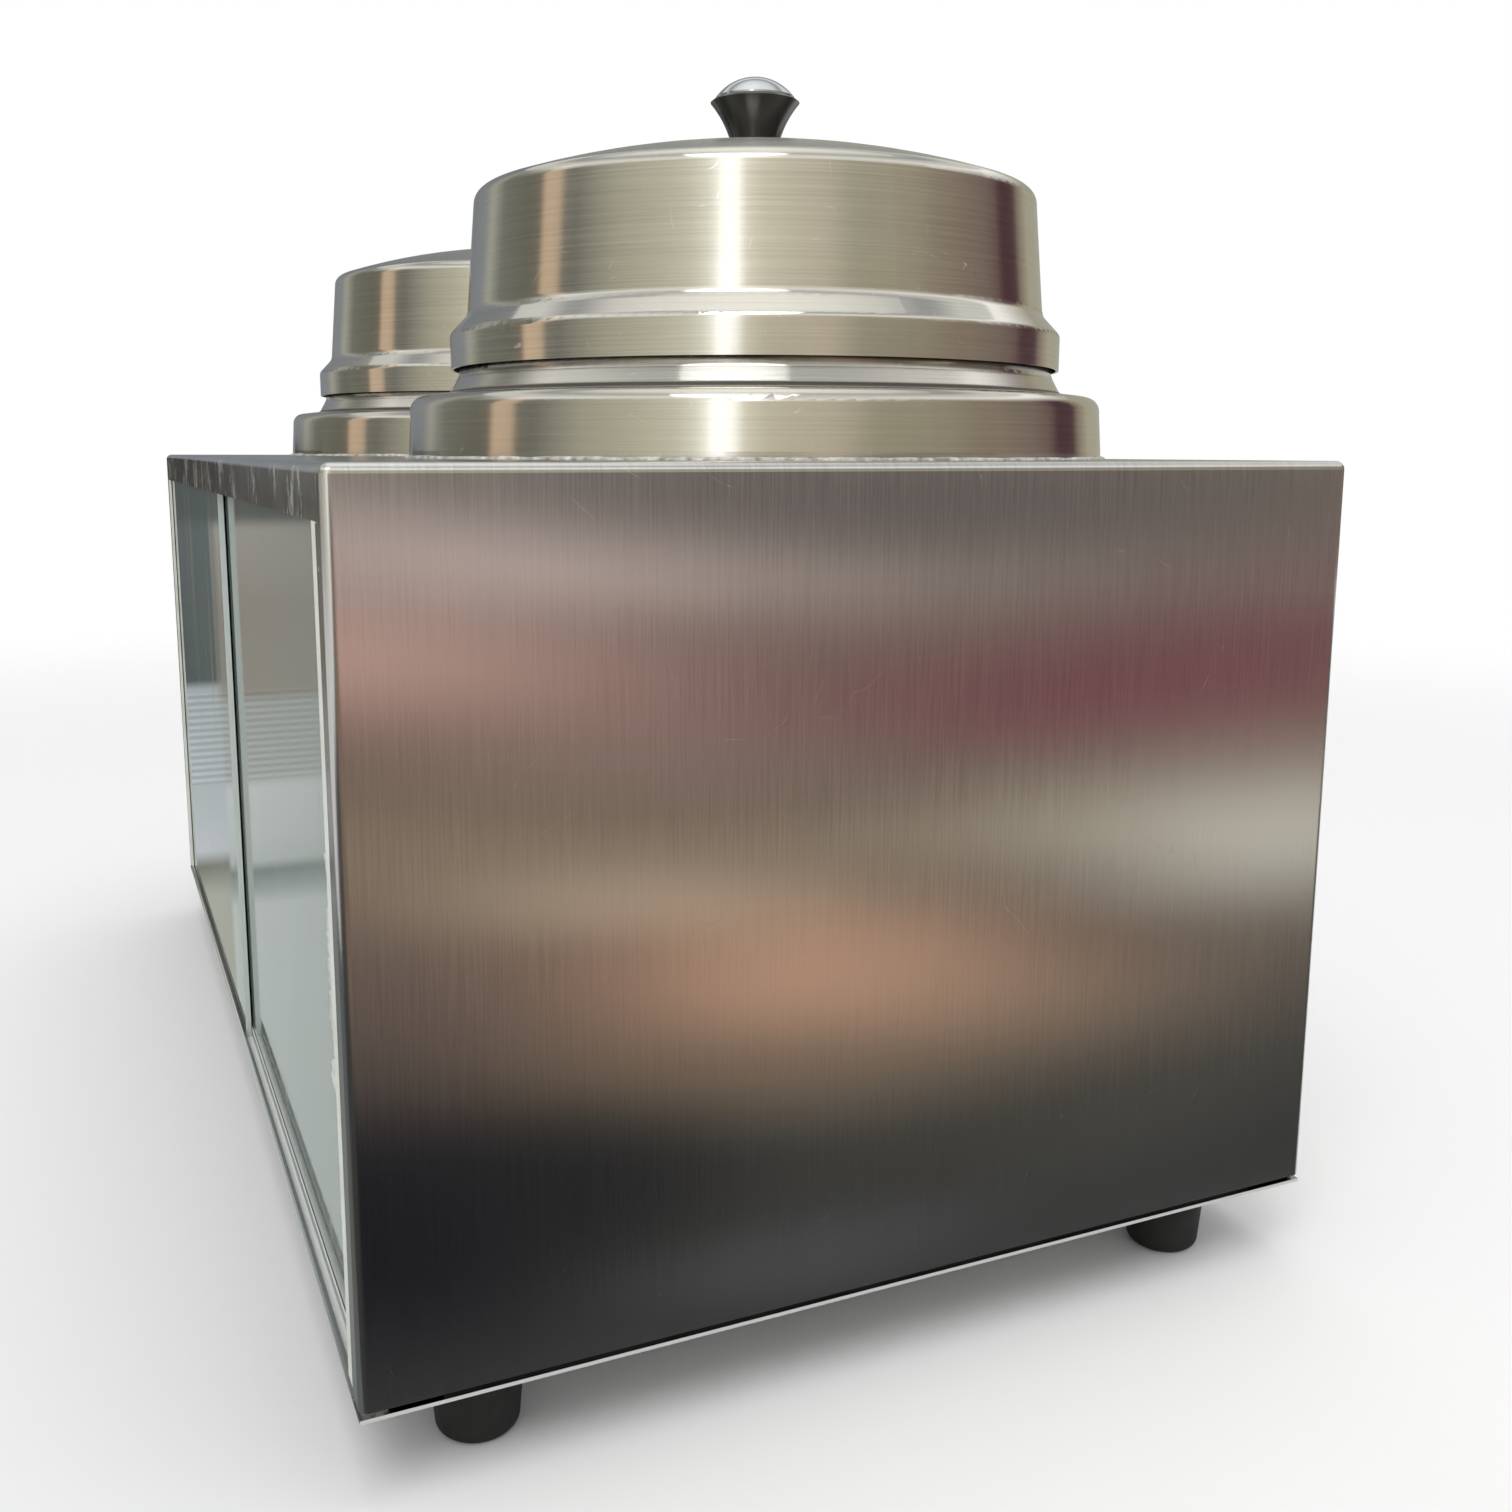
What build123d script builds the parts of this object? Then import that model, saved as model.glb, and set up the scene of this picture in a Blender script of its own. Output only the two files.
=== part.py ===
from build123d import *

import os
from math import cos, hypot, radians, sin, tan

# Twin-well topping warmer: a heated stainless box with two lift-out food insets under tall
# spun lids, and a lit sign front of two sliding panes. All sizes are in millimetres.
# +Z is up, the sign front faces -Y, and the controls are on the +Y side. The origin is the
# middle of the footprint, controls included, at the height of the feet's soles.

os.makedirs("parts", exist_ok=True)

# Box
body_length = 462.0
body_width = 260.0
body_height = 200.0  # underside of the base pan to the deck
sheet = 0.9
bend_radius = 2.2  # outside radius of every fold
band_height = 11.5  # downturned edge of the deck over the sign front
front_flange = 8.0
rear_flange = 15.0
seam = 0.45  # open corner where two folded edges meet
shadow_gap = 1.4  # between the wrapper's lower edge and the base pan
lap_gap = 0.15  # between sheets, tracks and panes that lap or slide
pan_inset = 0.3
pan_lip = 4.0  # height of the pan's folded front edge
angle_leg = 14.0
angle_thickness = 1.2
angle_setback = 18.0  # from the wrapper's front and rear to the stay angles' ends

# Sign front
pane_thickness = 1.8
pane_overlap = 14.0
pane_lift = 2.8  # room above the panes, so that they lift out over the lip
track_web = 0.5
track_rib = 0.4
track_back = 0.8
track_back_height = 8.0
jamb_width = 5.0
jamb_thickness = 0.8
reflector_sheet = 0.8
reflector_flange = 13.0
reflector_gap = 1.5  # behind the reflector, to the insulation
lamp_radius = 7.9
lamp_length = 288.0
lamp_cap_radius = 8.2
lamp_cap_length = 12.0
lamp_pin_radius = 1.1
lamp_pin_length = 7.0
lamp_pin_pitch = 4.75
lamp_height = 105.0  # above the base pan's underside
holder_length = 11.0
holder_height = 30.0
holder_nose = 11.0  # in front of the lamp's axis
pin_clearance = 0.2
ballast_length = 110.0
ballast_height = 24.0
ballast_setback = 101.0  # left end to the ballast's middle
ballast_lead_pitch = 73.0
ballast_gap = 1.5  # to the reflector's lower flange
ballast_front_gap = 4.7  # to the track

# Wells
well_spacing = 233.2
well_set = 0.55  # share of the width from the sign front to the wells' axes
vessel_radius = 83.5  # inside
vessel_wall = 0.8
vessel_depth = 160.0  # deck to the inside of the bottom
vessel_flange_radius = 94.0
vessel_corner = 12.0
vessel_opening_gap = 0.6
stud_radius = 3.0
stud_length = 24.0
collar_radius = 99.9
collar_foot = 2.0  # upright part of the collar's wall
collar_draft = 1.0
collar_height = 16.6
collar_round = 3.8
shoulder_rise = 1.3
neck_foot_radius = 88.3
neck_foot_round = 1.6
neck_radius = 85.3
neck_cone_rise = 5.6
neck_round = 6.0
insulation_thickness = 5.5
insulation_gap = 0.2
insulation_top = 20.0  # below the deck
insulation_bottom = 126.0
heater_radius = 66.0
heater_thickness = 6.0
heater_post_radius = 3.5
heater_post_length = 9.0
heater_post_pitch = 22.0
heater_post_setback = 48.0
clamp_length = 120.0
clamp_width = 24.0
clamp_thickness = 3.0
nut_across_flats = 10.0
nut_height = 5.0

# Insets, lids and lid knobs
inset_radius = 79.0
inset_wall = 0.7
inset_water = 13.0  # under the inset
inset_corner = 14.0
bead_radius = 86.1
bead_width = 2.7
bead_height = 3.0
bead_round = 1.2
lid_sheet = 0.8
lid_skirt_radius = 87.6
lid_skirt_height = 9.6
lid_skirt_lift = 24.6  # deck to the skirt's lower edge
lid_skirt_round = 2.4
lid_flare_in = 5.0
lid_flare_rise = 5.4
lid_flare_round = 4.0
lid_wall_height = 33.1
lid_top_radius = 79.8
lid_top_round = 3.6
lid_dome_rise = 13.5
seat_gap = 0.3  # between the lid's flare and the inset's bead
lid_knob_foot = 6.3
lid_knob_waist = 8.4
lid_knob_waist_height = 7.2
lid_knob_radius = 12.7
lid_knob_flare_height = 14.0
lid_knob_height = 14.8
lid_knob_land = 11.6
cap_radius = 11.3
cap_rim = 0.5
cap_rise = 5.6
cap_spigot_radius = 4.0
cap_spigot_length = 3.0
knob_screw_radius = 2.0
knob_screw_grip = 5.5
knob_screw_head_radius = 5.0
knob_screw_head = 2.2
bore_clearance = 0.1

# Controls on the rear
control_height = 120.0  # above the base pan's underside
control_pitch = 84.0
pilot_rise = 38.0
switch_drop = 42.0
thermostat_width = 40.0
thermostat_depth = 30.0
thermostat_height = 36.0
bushing_radius = 5.0
bushing_length = 4.5
bushing_nut_flats = 14.0
bushing_nut_height = 2.4
shaft_radius = 3.0
shaft_clearance = 0.05  # running fit in the bushing
shaft_depth = 12.0  # inside the thermostat
shaft_flat = 1.2
knob_clearance = 0.03
control_knob_radius = 20.0
control_knob_skirt = 4.0
control_knob_height = 17.0
control_knob_round = 1.3
control_knob_draft = 4.0  # degrees
control_knob_standoff = 0.8
control_knob_grip_width = 9.5
control_knob_recess_radius = 11.0
control_knob_recess = 5.0
control_knob_bore = 13.0
pointer_width = 1.4
pointer_depth = 0.6
pilot_radius = 5.0
pilot_flange_radius = 6.8
pilot_flange = 1.5
pilot_length = 22.0
pilot_wall = 1.0
lens_radius = 5.0
lens_rise = 3.6
lens_stem = 6.0
switch_width = 15.0
switch_height = 21.0
switch_bezel = 3.0
switch_round = 1.1
switch_body_width = 12.8
switch_body_height = 18.8
switch_depth = 16.0
switch_pocket_width = 11.2
switch_pocket_height = 17.8
switch_pocket_depth = 9.0
rocker_width = 10.8
rocker_half = 8.2
rocker_crest = 3.4
rocker_dip = 2.2
rocker_keel = 4.0
rocker_pin_radius = 0.8
rocker_pin_length = 1.2
rocker_tilt = 9.0
terminal_length = 48.0
terminal_width = 20.0
terminal_height = 16.0
terminal_slot = 7.0
terminal_slot_depth = 8.0
terminal_ways = 4
terminal_wall = 1.0
terminal_setback = 62.0
gland_setback = 81.0  # right end to the gland's axis
gland_height = 28.0
gland_bore = 4.0
gland_thread_radius = 6.0
gland_thread_length = 10.0
gland_flats = 20.0
gland_flange = 5.0
gland_dome_radius = 8.5
gland_dome_length = 8.0
gland_nut_flats = 18.0
gland_nut_height = 4.0
bulb_radius = 3.0
bulb_length = 60.0
bulb_gap = 0.2
bulb_drop = 137.0  # deck to the sensing bulb's axis
bulb_angle = 150.0  # round the right-hand well, from +X
capillary_radius = 1.0
capillary_bend = 7.0
vent_width = 3.2
vent_length = 28.0
vent_pitch = 8.0
vent_count = 8
vent_x = 150.0
vent_height = 150.0
pan_vent_length = 40.0
pan_vent_pitch = 12.0
pan_vent_count = 5
wire_radius = 1.3
wire_slack = 0.4  # share of a wire's shorter run that each bend takes up
wire_rise = 26.0  # straight run out of a slot or an entry
wire_drop = 10.0  # straight run below a heater post
wire_spread = 9.0
wire_sweep = 30.0  # sideways reach of a wire's free bend
lamp_lead_setback = 8.0

# Feet and screws
foot_height = 21.0
foot_top_radius = 11.5
foot_sole_radius = 9.6
foot_round = 2.6
foot_end_inset = 21.0
foot_side_inset = 30.0
foot_recess_radius = 4.6
foot_recess = 9.0
foot_screw_radius = 2.0
foot_screw_head_radius = 3.8
foot_screw_head = 2.6
foot_nut_flats = 7.0
foot_nut_height = 3.2
screw_radius = 1.75
screw_head_radius = 3.4
screw_head = 2.0
screw_tail = 4.0
screw_hole_clearance = 0.15
base_screw_inset = 60.0
rear_screw_heights = (30.0, 100.0, 170.0)
rear_band_screws = (-120.0, 0.0, 120.0)

# Places worked out from the sizes
pan_z = foot_height
pan_top = pan_z + sheet
wrapper_z = pan_top + shadow_gap
deck_z = pan_z + body_height
deck_underside = deck_z - sheet
end_x = body_length / 2
control_reach = control_knob_standoff + control_knob_height
front_y = -(body_width + control_reach) / 2
rear_y = front_y + body_width
mid_y = (front_y + rear_y) / 2
well_y = front_y + well_set * body_width
well_xs = {"left": -well_spacing / 2, "right": well_spacing / 2}
signs = {"left": -1, "right": 1}
sign_plane = Plane.XZ.offset(-front_y)
rear_plane = Plane(origin=(0, rear_y, 0), x_dir=(-1, 0, 0), z_dir=(0, 1, 0))
rear_panel_y = rear_y - 2 * sheet - lap_gap  # the panel's inner face
rear_panel_plane = rear_plane.offset(rear_panel_y - rear_y)
fitting_y = rear_panel_y + sheet + lap_gap  # back of whatever sits on the panel's outer face
control_z = pan_z + control_height
pilot_z = control_z + pilot_rise
switch_z = control_z - switch_drop
gland_x = end_x - gland_setback
gland_z = pan_z + gland_height
vessel_outer = vessel_radius + vessel_wall
insulation_radius = vessel_outer + insulation_gap + insulation_thickness

track_half = end_x - bend_radius - lap_gap
outer_pane_y = front_y + sheet + lap_gap
track_rib_y = outer_pane_y + pane_thickness + lap_gap
inner_pane_y = track_rib_y + track_rib + lap_gap
track_back_y = inner_pane_y + pane_thickness + lap_gap
pane_z = pan_top + track_web + lap_gap
pane_top = deck_underside - track_web - pane_lift
pane_length = track_half - lap_gap + pane_overlap / 2
reflector_y = well_y - insulation_radius - reflector_gap - reflector_sheet
lamp_y = (track_back_y + track_back + reflector_y) / 2
lamp_z = pan_z + lamp_height


def hole(radius):
    return radius + screw_hole_clearance


# Wrapper: deck and both end panels folded from one sheet, open below, front and rear
window_bottom = wrapper_z - sheet
front_window_top = deck_z - band_height
rear_window_top = deck_z - rear_flange
rear_screw_x = end_x - rear_flange / 2
rear_band_z = deck_z - rear_flange / 2
rear_screws = [(s * rear_screw_x, pan_z + h) for s in (-1, 1) for h in rear_screw_heights]
rear_screws += [(x, rear_band_z) for x in rear_band_screws]
with BuildPart() as body_wrapper:
    with BuildSketch(Plane.XY.offset(wrapper_z)):
        with Locations((0, mid_y)):
            RectangleRounded(body_length, body_width, bend_radius)
    extrude(amount=deck_z - wrapper_z)
    fillet(body_wrapper.faces().sort_by(Axis.Z)[-1].edges(), radius=bend_radius)
    offset(amount=-sheet, openings=body_wrapper.faces().sort_by(Axis.Z)[0])
    with BuildSketch(sign_plane):
        with Locations((0, window_bottom)):
            Rectangle(
                2 * (end_x - front_flange),
                front_window_top - window_bottom,
                align=(Align.CENTER, Align.MIN),
            )
        for side in signs.values():
            with Locations((side * (end_x - bend_radius), deck_z - bend_radius)):
                Rectangle(seam, band_height - bend_radius, align=(Align.CENTER, Align.MAX))
            with Locations((side * (end_x - (front_flange + bend_radius) / 2), front_window_top)):
                Rectangle(front_flange - bend_radius, seam, align=(Align.CENTER, Align.MAX))
    extrude(amount=-2 * sheet, mode=Mode.SUBTRACT)
    with BuildSketch(rear_plane):
        with Locations((0, window_bottom)):
            Rectangle(
                2 * (end_x - rear_flange),
                rear_window_top - window_bottom,
                align=(Align.CENTER, Align.MIN),
            )
        with Locations(*[(-x, z) for x, z in rear_screws]):
            Circle(hole(screw_radius))
    extrude(amount=-2 * sheet, mode=Mode.SUBTRACT)
    with BuildSketch(Plane.XY.offset(deck_z)):
        with Locations(*[(x, well_y) for x in well_xs.values()]):
            Circle(vessel_outer + vessel_opening_gap)
    extrude(amount=-2 * sheet, mode=Mode.SUBTRACT)
body_wrapper.part.label = "body_wrapper"
export_step(body_wrapper.part, "parts/body_wrapper.step")

# Base pan with a folded front lip, vents under the wells and the foot and stay holes
foot_places = {
    "front_left": (-(end_x - foot_end_inset), front_y + foot_side_inset),
    "front_right": (end_x - foot_end_inset, front_y + foot_side_inset),
    "rear_left": (-(end_x - foot_end_inset), rear_y - foot_side_inset),
    "rear_right": (end_x - foot_end_inset, rear_y - foot_side_inset),
}
angle_x = end_x - sheet - lap_gap  # outer face of the stay angles
base_screw_x = angle_x - angle_leg / 2
base_screw_ys = (front_y + base_screw_inset, mid_y, rear_y - base_screw_inset)
base_screws = [(s * base_screw_x, y) for s in (-1, 1) for y in base_screw_ys]
with BuildPart() as base_pan:
    with BuildSketch(Plane.XY.offset(pan_z)):
        with Locations((0, front_y)):
            Rectangle(
                body_length - 2 * pan_inset,
                body_width - pan_inset,
                align=(Align.CENTER, Align.MIN),
            )
        with Locations(*foot_places.values()):
            Circle(hole(foot_screw_radius), mode=Mode.SUBTRACT)
        with Locations(*base_screws):
            Circle(hole(screw_radius), mode=Mode.SUBTRACT)
        for x in well_xs.values():
            with Locations((x, well_y)):
                with GridLocations(0, pan_vent_pitch, 1, pan_vent_count):
                    SlotOverall(pan_vent_length, vent_width, mode=Mode.SUBTRACT)
    extrude(amount=sheet)
    with BuildSketch(Plane.XY.offset(pan_z)):
        with Locations((0, front_y)):
            Rectangle(
                2 * (end_x - front_flange - lap_gap),
                sheet,
                align=(Align.CENTER, Align.MIN),
            )
    extrude(amount=pan_lip)
base_pan.part.label = "base_pan"
export_step(base_pan.part, "parts/base_pan.step")

# Stay angles inside the end panels, which the base pan is screwed to
for side, sign in signs.items():
    with BuildPart() as base_angle:
        with BuildSketch(Plane.XZ.offset(-(front_y + angle_setback))):
            with Locations((sign * angle_x, pan_top)):
                corner = (Align.MAX if sign > 0 else Align.MIN, Align.MIN)
                Rectangle(angle_leg, angle_thickness, align=corner)
                Rectangle(angle_thickness, angle_leg, align=corner)
        extrude(amount=-(body_width - 2 * angle_setback))
        with BuildSketch(Plane.XY.offset(pan_top)):
            with Locations(*[(x, y) for x, y in base_screws if x * sign > 0]):
                Circle(hole(screw_radius))
        extrude(amount=angle_thickness, mode=Mode.SUBTRACT)
    base_angle.part.label = f"base_angle_{side}"
    export_step(base_angle.part, f"parts/base_angle_{side}.step")

# Rear service panel, lapped inside the wrapper's rear flanges
rear_panel_top = deck_z - bend_radius - lap_gap
control_us = [-control_pitch / 2, control_pitch / 2]
with BuildPart() as rear_panel:
    with BuildSketch(rear_panel_plane):
        with Locations((0, pan_top)):
            Rectangle(
                2 * track_half,
                rear_panel_top - pan_top,
                align=(Align.CENTER, Align.MIN),
            )
        with Locations(*[(-x, z) for x, z in rear_screws]):
            Circle(hole(screw_radius), mode=Mode.SUBTRACT)
        with Locations(*[(u, control_z) for u in control_us]):
            Circle(hole(bushing_radius), mode=Mode.SUBTRACT)
        with Locations(*[(u, pilot_z) for u in control_us]):
            Circle(hole(pilot_radius), mode=Mode.SUBTRACT)
        with Locations((0, switch_z)):
            Rectangle(
                switch_body_width + 2 * lap_gap,
                switch_body_height + 2 * lap_gap,
                mode=Mode.SUBTRACT,
            )
        with Locations((-gland_x, gland_z)):
            Circle(hole(gland_thread_radius), mode=Mode.SUBTRACT)
        for u in (-vent_x, vent_x):
            with Locations((u, pan_z + vent_height)):
                with GridLocations(vent_pitch, 0, vent_count, 1):
                    SlotOverall(vent_length, vent_width, rotation=90, mode=Mode.SUBTRACT)
    extrude(amount=sheet)
rear_panel.part.label = "rear_panel"
export_step(rear_panel.part, "parts/rear_panel.step")

# Pane tracks: a web with a rib between the panes and a lip behind them
with BuildPart() as sign_track_bottom:
    with BuildSketch(Plane.YZ.offset(-track_half)):
        with Locations((outer_pane_y, pan_top)):
            Rectangle(
                track_back_y + track_back - outer_pane_y,
                track_web,
                align=(Align.MIN, Align.MIN),
            )
        with Locations((track_rib_y, pan_top)):
            Rectangle(track_rib, pan_z + pan_lip - pan_top, align=(Align.MIN, Align.MIN))
        with Locations((track_back_y, pan_top)):
            Rectangle(track_back, track_back_height, align=(Align.MIN, Align.MIN))
    extrude(amount=2 * track_half)
sign_track_bottom.part.label = "sign_track_bottom"
export_step(sign_track_bottom.part, "parts/sign_track_bottom.step")

track_front_y = front_y + bend_radius + lap_gap
with BuildPart() as sign_track_top:
    with BuildSketch(Plane.YZ.offset(-track_half)):
        with Locations((track_front_y, deck_underside)):
            Rectangle(
                track_back_y + track_back - track_front_y,
                track_web,
                align=(Align.MIN, Align.MAX),
            )
        with Locations((track_rib_y, deck_underside)):
            Rectangle(track_rib, band_height - 2 * sheet, align=(Align.MIN, Align.MAX))
        with Locations((track_back_y, deck_underside)):
            Rectangle(track_back, band_height - 2 * sheet, align=(Align.MIN, Align.MAX))
    extrude(amount=2 * track_half)
sign_track_top.part.label = "sign_track_top"
export_step(sign_track_top.part, "parts/sign_track_top.step")

# Sign panes: the outer one at the left end, the inner one at the right end
pane_half = track_half - lap_gap
pane_ends = {
    "outer": (-pane_half, outer_pane_y, Align.MIN),
    "inner": (pane_half, inner_pane_y, Align.MAX),
}
for name, (pane_x, pane_y, along) in pane_ends.items():
    with BuildPart() as sign_pane:
        with BuildSketch(Plane.XZ.offset(-pane_y)):
            with Locations((pane_x, pane_z)):
                Rectangle(pane_length, pane_top - pane_z, align=(along, Align.MIN))
        extrude(amount=-pane_thickness)
    sign_pane.part.label = f"sign_pane_{name}"
    export_step(sign_pane.part, f"parts/sign_pane_{name}.step")

# Jamb strips along the free edges of the front flanges
for side, sign in signs.items():
    with BuildPart() as jamb_strip:
        with BuildSketch(sign_plane):
            with Locations((sign * (end_x - front_flange), pan_z + pan_lip)):
                along = Align.MAX if sign > 0 else Align.MIN
                Rectangle(
                    jamb_width,
                    front_window_top - pan_z - pan_lip,
                    align=(along, Align.MIN),
                )
        extrude(amount=-jamb_thickness)
    jamb_strip.part.label = f"jamb_strip_{side}"
    export_step(jamb_strip.part, f"parts/jamb_strip_{side}.step")

# Reflector: a white channel behind the lamp
reflector_half = end_x - foot_end_inset - foot_nut_flats  # stops short of the foot nuts
holder_x = lamp_length / 2 + lap_gap
with BuildPart() as reflector:
    with BuildSketch(Plane.YZ.offset(-reflector_half)):
        with Locations((reflector_y, pan_top)):
            Rectangle(reflector_sheet, deck_underside - pan_top, align=(Align.MIN, Align.MIN))
        with Locations((reflector_y + reflector_sheet, pan_top)):
            Rectangle(reflector_flange, reflector_sheet, align=(Align.MAX, Align.MIN))
        with Locations((reflector_y + reflector_sheet, deck_underside)):
            Rectangle(reflector_flange, reflector_sheet, align=(Align.MAX, Align.MAX))
    extrude(amount=2 * reflector_half)
reflector.part.label = "reflector"
export_step(reflector.part, "parts/reflector.step")

# Lamp: a tube with metal end caps and two pins at each end
with BuildPart() as lamp_tube:
    with BuildSketch(Plane.YZ.offset(-lamp_length / 2)):
        with Locations((lamp_y, lamp_z)):
            Circle(lamp_radius)
    extrude(amount=lamp_length)
    for start in (-lamp_length / 2, lamp_length / 2 - lamp_cap_length):
        with BuildSketch(Plane.YZ.offset(start)):
            with Locations((lamp_y, lamp_z)):
                Circle(lamp_cap_radius)
        extrude(amount=lamp_cap_length)
    with BuildSketch(Plane.YZ.offset(-lamp_length / 2 - lamp_pin_length)):
        with Locations((lamp_y, lamp_z)):
            with GridLocations(0, lamp_pin_pitch, 1, 2):
                Circle(lamp_pin_radius)
    extrude(amount=lamp_length + 2 * lamp_pin_length)
lamp_tube.part.label = "lamp_tube"
export_step(lamp_tube.part, "parts/lamp_tube.step")

with BuildPart() as lamp_holders:
    for sign in signs.values():
        with BuildSketch(Plane.YZ.offset(sign * holder_x)):
            with Locations((reflector_y, lamp_z)):
                Rectangle(
                    reflector_y - lamp_y,
                    holder_height,
                    align=(Align.MAX, Align.CENTER),
                )
            with Locations((lamp_y, lamp_z)):
                Circle(holder_nose)
        extrude(amount=sign * holder_length)
        with BuildSketch(Plane.YZ.offset(sign * holder_x)):
            with Locations((lamp_y, lamp_z)):
                with GridLocations(0, lamp_pin_pitch, 1, 2):
                    Circle(lamp_pin_radius + pin_clearance)
        extrude(amount=sign * (lamp_pin_length + pin_clearance), mode=Mode.SUBTRACT)
lamp_holders.part.label = "lamp_holders"
export_step(lamp_holders.part, "parts/lamp_holders.step")

ballast_x = ballast_setback - end_x
ballast_y = reflector_y + reflector_sheet - reflector_flange - ballast_gap
ballast_width = ballast_y - track_back_y - track_back - ballast_front_gap
with BuildPart() as lamp_ballast:
    with BuildSketch(Plane.XY.offset(pan_top)):
        with Locations((ballast_x, ballast_y)):
            Rectangle(ballast_length, ballast_width, align=(Align.CENTER, Align.MAX))
    extrude(amount=ballast_height)
    fillet(lamp_ballast.edges().filter_by(Axis.X).group_by(Axis.Z)[-1], radius=bend_radius)
lamp_ballast.part.label = "lamp_ballast"
export_step(lamp_ballast.part, "parts/lamp_ballast.step")

# Seat of the lid: where the round of the inset's bead meets the inside of the lid's flare
flare_length = hypot(lid_flare_in, lid_flare_rise)
flare_normal_r = lid_flare_rise / flare_length
flare_normal_z = lid_flare_in / flare_length
bead_centre_r = bead_radius - bead_round
seat_depth = lid_sheet + seat_gap + bead_round
seat_rise = (-seat_depth + (lid_skirt_radius - bead_centre_r) * flare_normal_r) / flare_normal_z
lid_z = deck_z + lid_skirt_lift
bead_top = lid_z + lid_skirt_height + seat_rise + bead_round
neck_top = bead_top - bead_height
vessel_floor = deck_z - vessel_depth
inset_z = vessel_floor + inset_water
vessel_bottom = vessel_floor - vessel_wall
heater_top = vessel_bottom - lap_gap
clamp_top = heater_top - heater_thickness
nut_top = clamp_top - clamp_thickness
lid_wall_top = lid_skirt_height + lid_flare_rise + lid_wall_height
lid_dome_radius = (lid_top_radius**2 + lid_dome_rise**2) / (2 * lid_dome_rise)
lid_top = lid_z + lid_wall_top + lid_dome_rise

for side, well_x in well_xs.items():
    well_axis = Axis((well_x, well_y, 0), (0, 0, 1))

    # Well collar: spun from sheet, stepped in to the neck that carries the inset
    with BuildPart() as well_collar:
        with BuildSketch(Plane((well_x, well_y, deck_z), x_dir=(1, 0, 0), z_dir=(0, -1, 0))):
            with BuildLine():
                FilletPolyline(
                    (collar_radius, 0),
                    (collar_radius, collar_foot),
                    (collar_radius - collar_draft, collar_height),
                    (neck_foot_radius, collar_height + shoulder_rise),
                    (neck_radius, collar_height + shoulder_rise + neck_cone_rise),
                    (neck_radius, neck_top - deck_z),
                    radius=[collar_round, collar_round, neck_foot_round, neck_round],
                )
                offset(amount=sheet, side=Side.LEFT, closed=True)
            make_face()
        revolve(axis=well_axis)
    well_collar.part.label = f"well_collar_{side}"
    export_step(well_collar.part, f"parts/well_collar_{side}.step")

    # Well vessel: a drawn water bath that hangs from the deck, with a stud underneath
    with BuildPart() as well_vessel:
        with BuildSketch(Plane((well_x, well_y, deck_z), x_dir=(1, 0, 0), z_dir=(0, -1, 0))):
            with BuildLine():
                FilletPolyline(
                    (0, vessel_bottom - deck_z),
                    (vessel_outer, vessel_bottom - deck_z),
                    (vessel_outer, 0),
                    (vessel_flange_radius, 0),
                    radius=[vessel_corner, 0],
                )
                offset(amount=vessel_wall, side=Side.LEFT, closed=True)
            make_face()
        revolve(axis=well_axis)
        with BuildSketch(Plane.XY.offset(vessel_bottom)):
            with Locations((well_x, well_y)):
                Circle(stud_radius)
        extrude(amount=-stud_length)
    well_vessel.part.label = f"well_vessel_{side}"
    export_step(well_vessel.part, f"parts/well_vessel_{side}.step")

    with BuildPart() as insulation_wrap:
        with BuildSketch(Plane.XY.offset(deck_z - insulation_bottom)):
            with Locations((well_x, well_y)):
                Circle(insulation_radius)
                Circle(vessel_outer + insulation_gap, mode=Mode.SUBTRACT)
        extrude(amount=insulation_bottom - insulation_top)
    insulation_wrap.part.label = f"insulation_wrap_{side}"
    export_step(insulation_wrap.part, f"parts/insulation_wrap_{side}.step")

    # Heater plate with two terminal posts, held up by a clamp bar on the vessel's stud
    with BuildPart() as heater_plate:
        with BuildSketch(Plane.XY.offset(heater_top)):
            with Locations((well_x, well_y)):
                Circle(heater_radius)
                Circle(hole(stud_radius), mode=Mode.SUBTRACT)
        extrude(amount=-heater_thickness)
        with BuildSketch(Plane.XY.offset(clamp_top)):
            with Locations((well_x, well_y + heater_post_setback)):
                with GridLocations(heater_post_pitch, 0, 2, 1):
                    Circle(heater_post_radius)
        extrude(amount=-heater_post_length)
    heater_plate.part.label = f"heater_plate_{side}"
    export_step(heater_plate.part, f"parts/heater_plate_{side}.step")

    with BuildPart() as heater_clamp:
        with BuildSketch(Plane.XY.offset(clamp_top)):
            with Locations((well_x, well_y)):
                SlotOverall(clamp_length, clamp_width)
                Circle(hole(stud_radius), mode=Mode.SUBTRACT)
        extrude(amount=-clamp_thickness)
    heater_clamp.part.label = f"heater_clamp_{side}"
    export_step(heater_clamp.part, f"parts/heater_clamp_{side}.step")

    # Inset: the lift-out food jar, hung by its beaded rim on the collar's neck
    with BuildPart() as inset_jar:
        with BuildSketch(Plane((well_x, well_y, inset_z), x_dir=(1, 0, 0), z_dir=(0, -1, 0))):
            with BuildLine():
                FilletPolyline(
                    (0, 0),
                    (inset_radius, 0),
                    (inset_radius, neck_top - inset_z),
                    (bead_radius - bead_round, neck_top - inset_z),
                    radius=[inset_corner, 0],
                )
                offset(amount=inset_wall, side=Side.LEFT, closed=True)
            make_face()
            with Locations((bead_radius - bead_width / 2, bead_top - bead_height / 2 - inset_z)):
                RectangleRounded(bead_width, bead_height, bead_round)
        revolve(axis=well_axis)
    inset_jar.part.label = f"inset_jar_{side}"
    export_step(inset_jar.part, f"parts/inset_jar_{side}.step")

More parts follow.
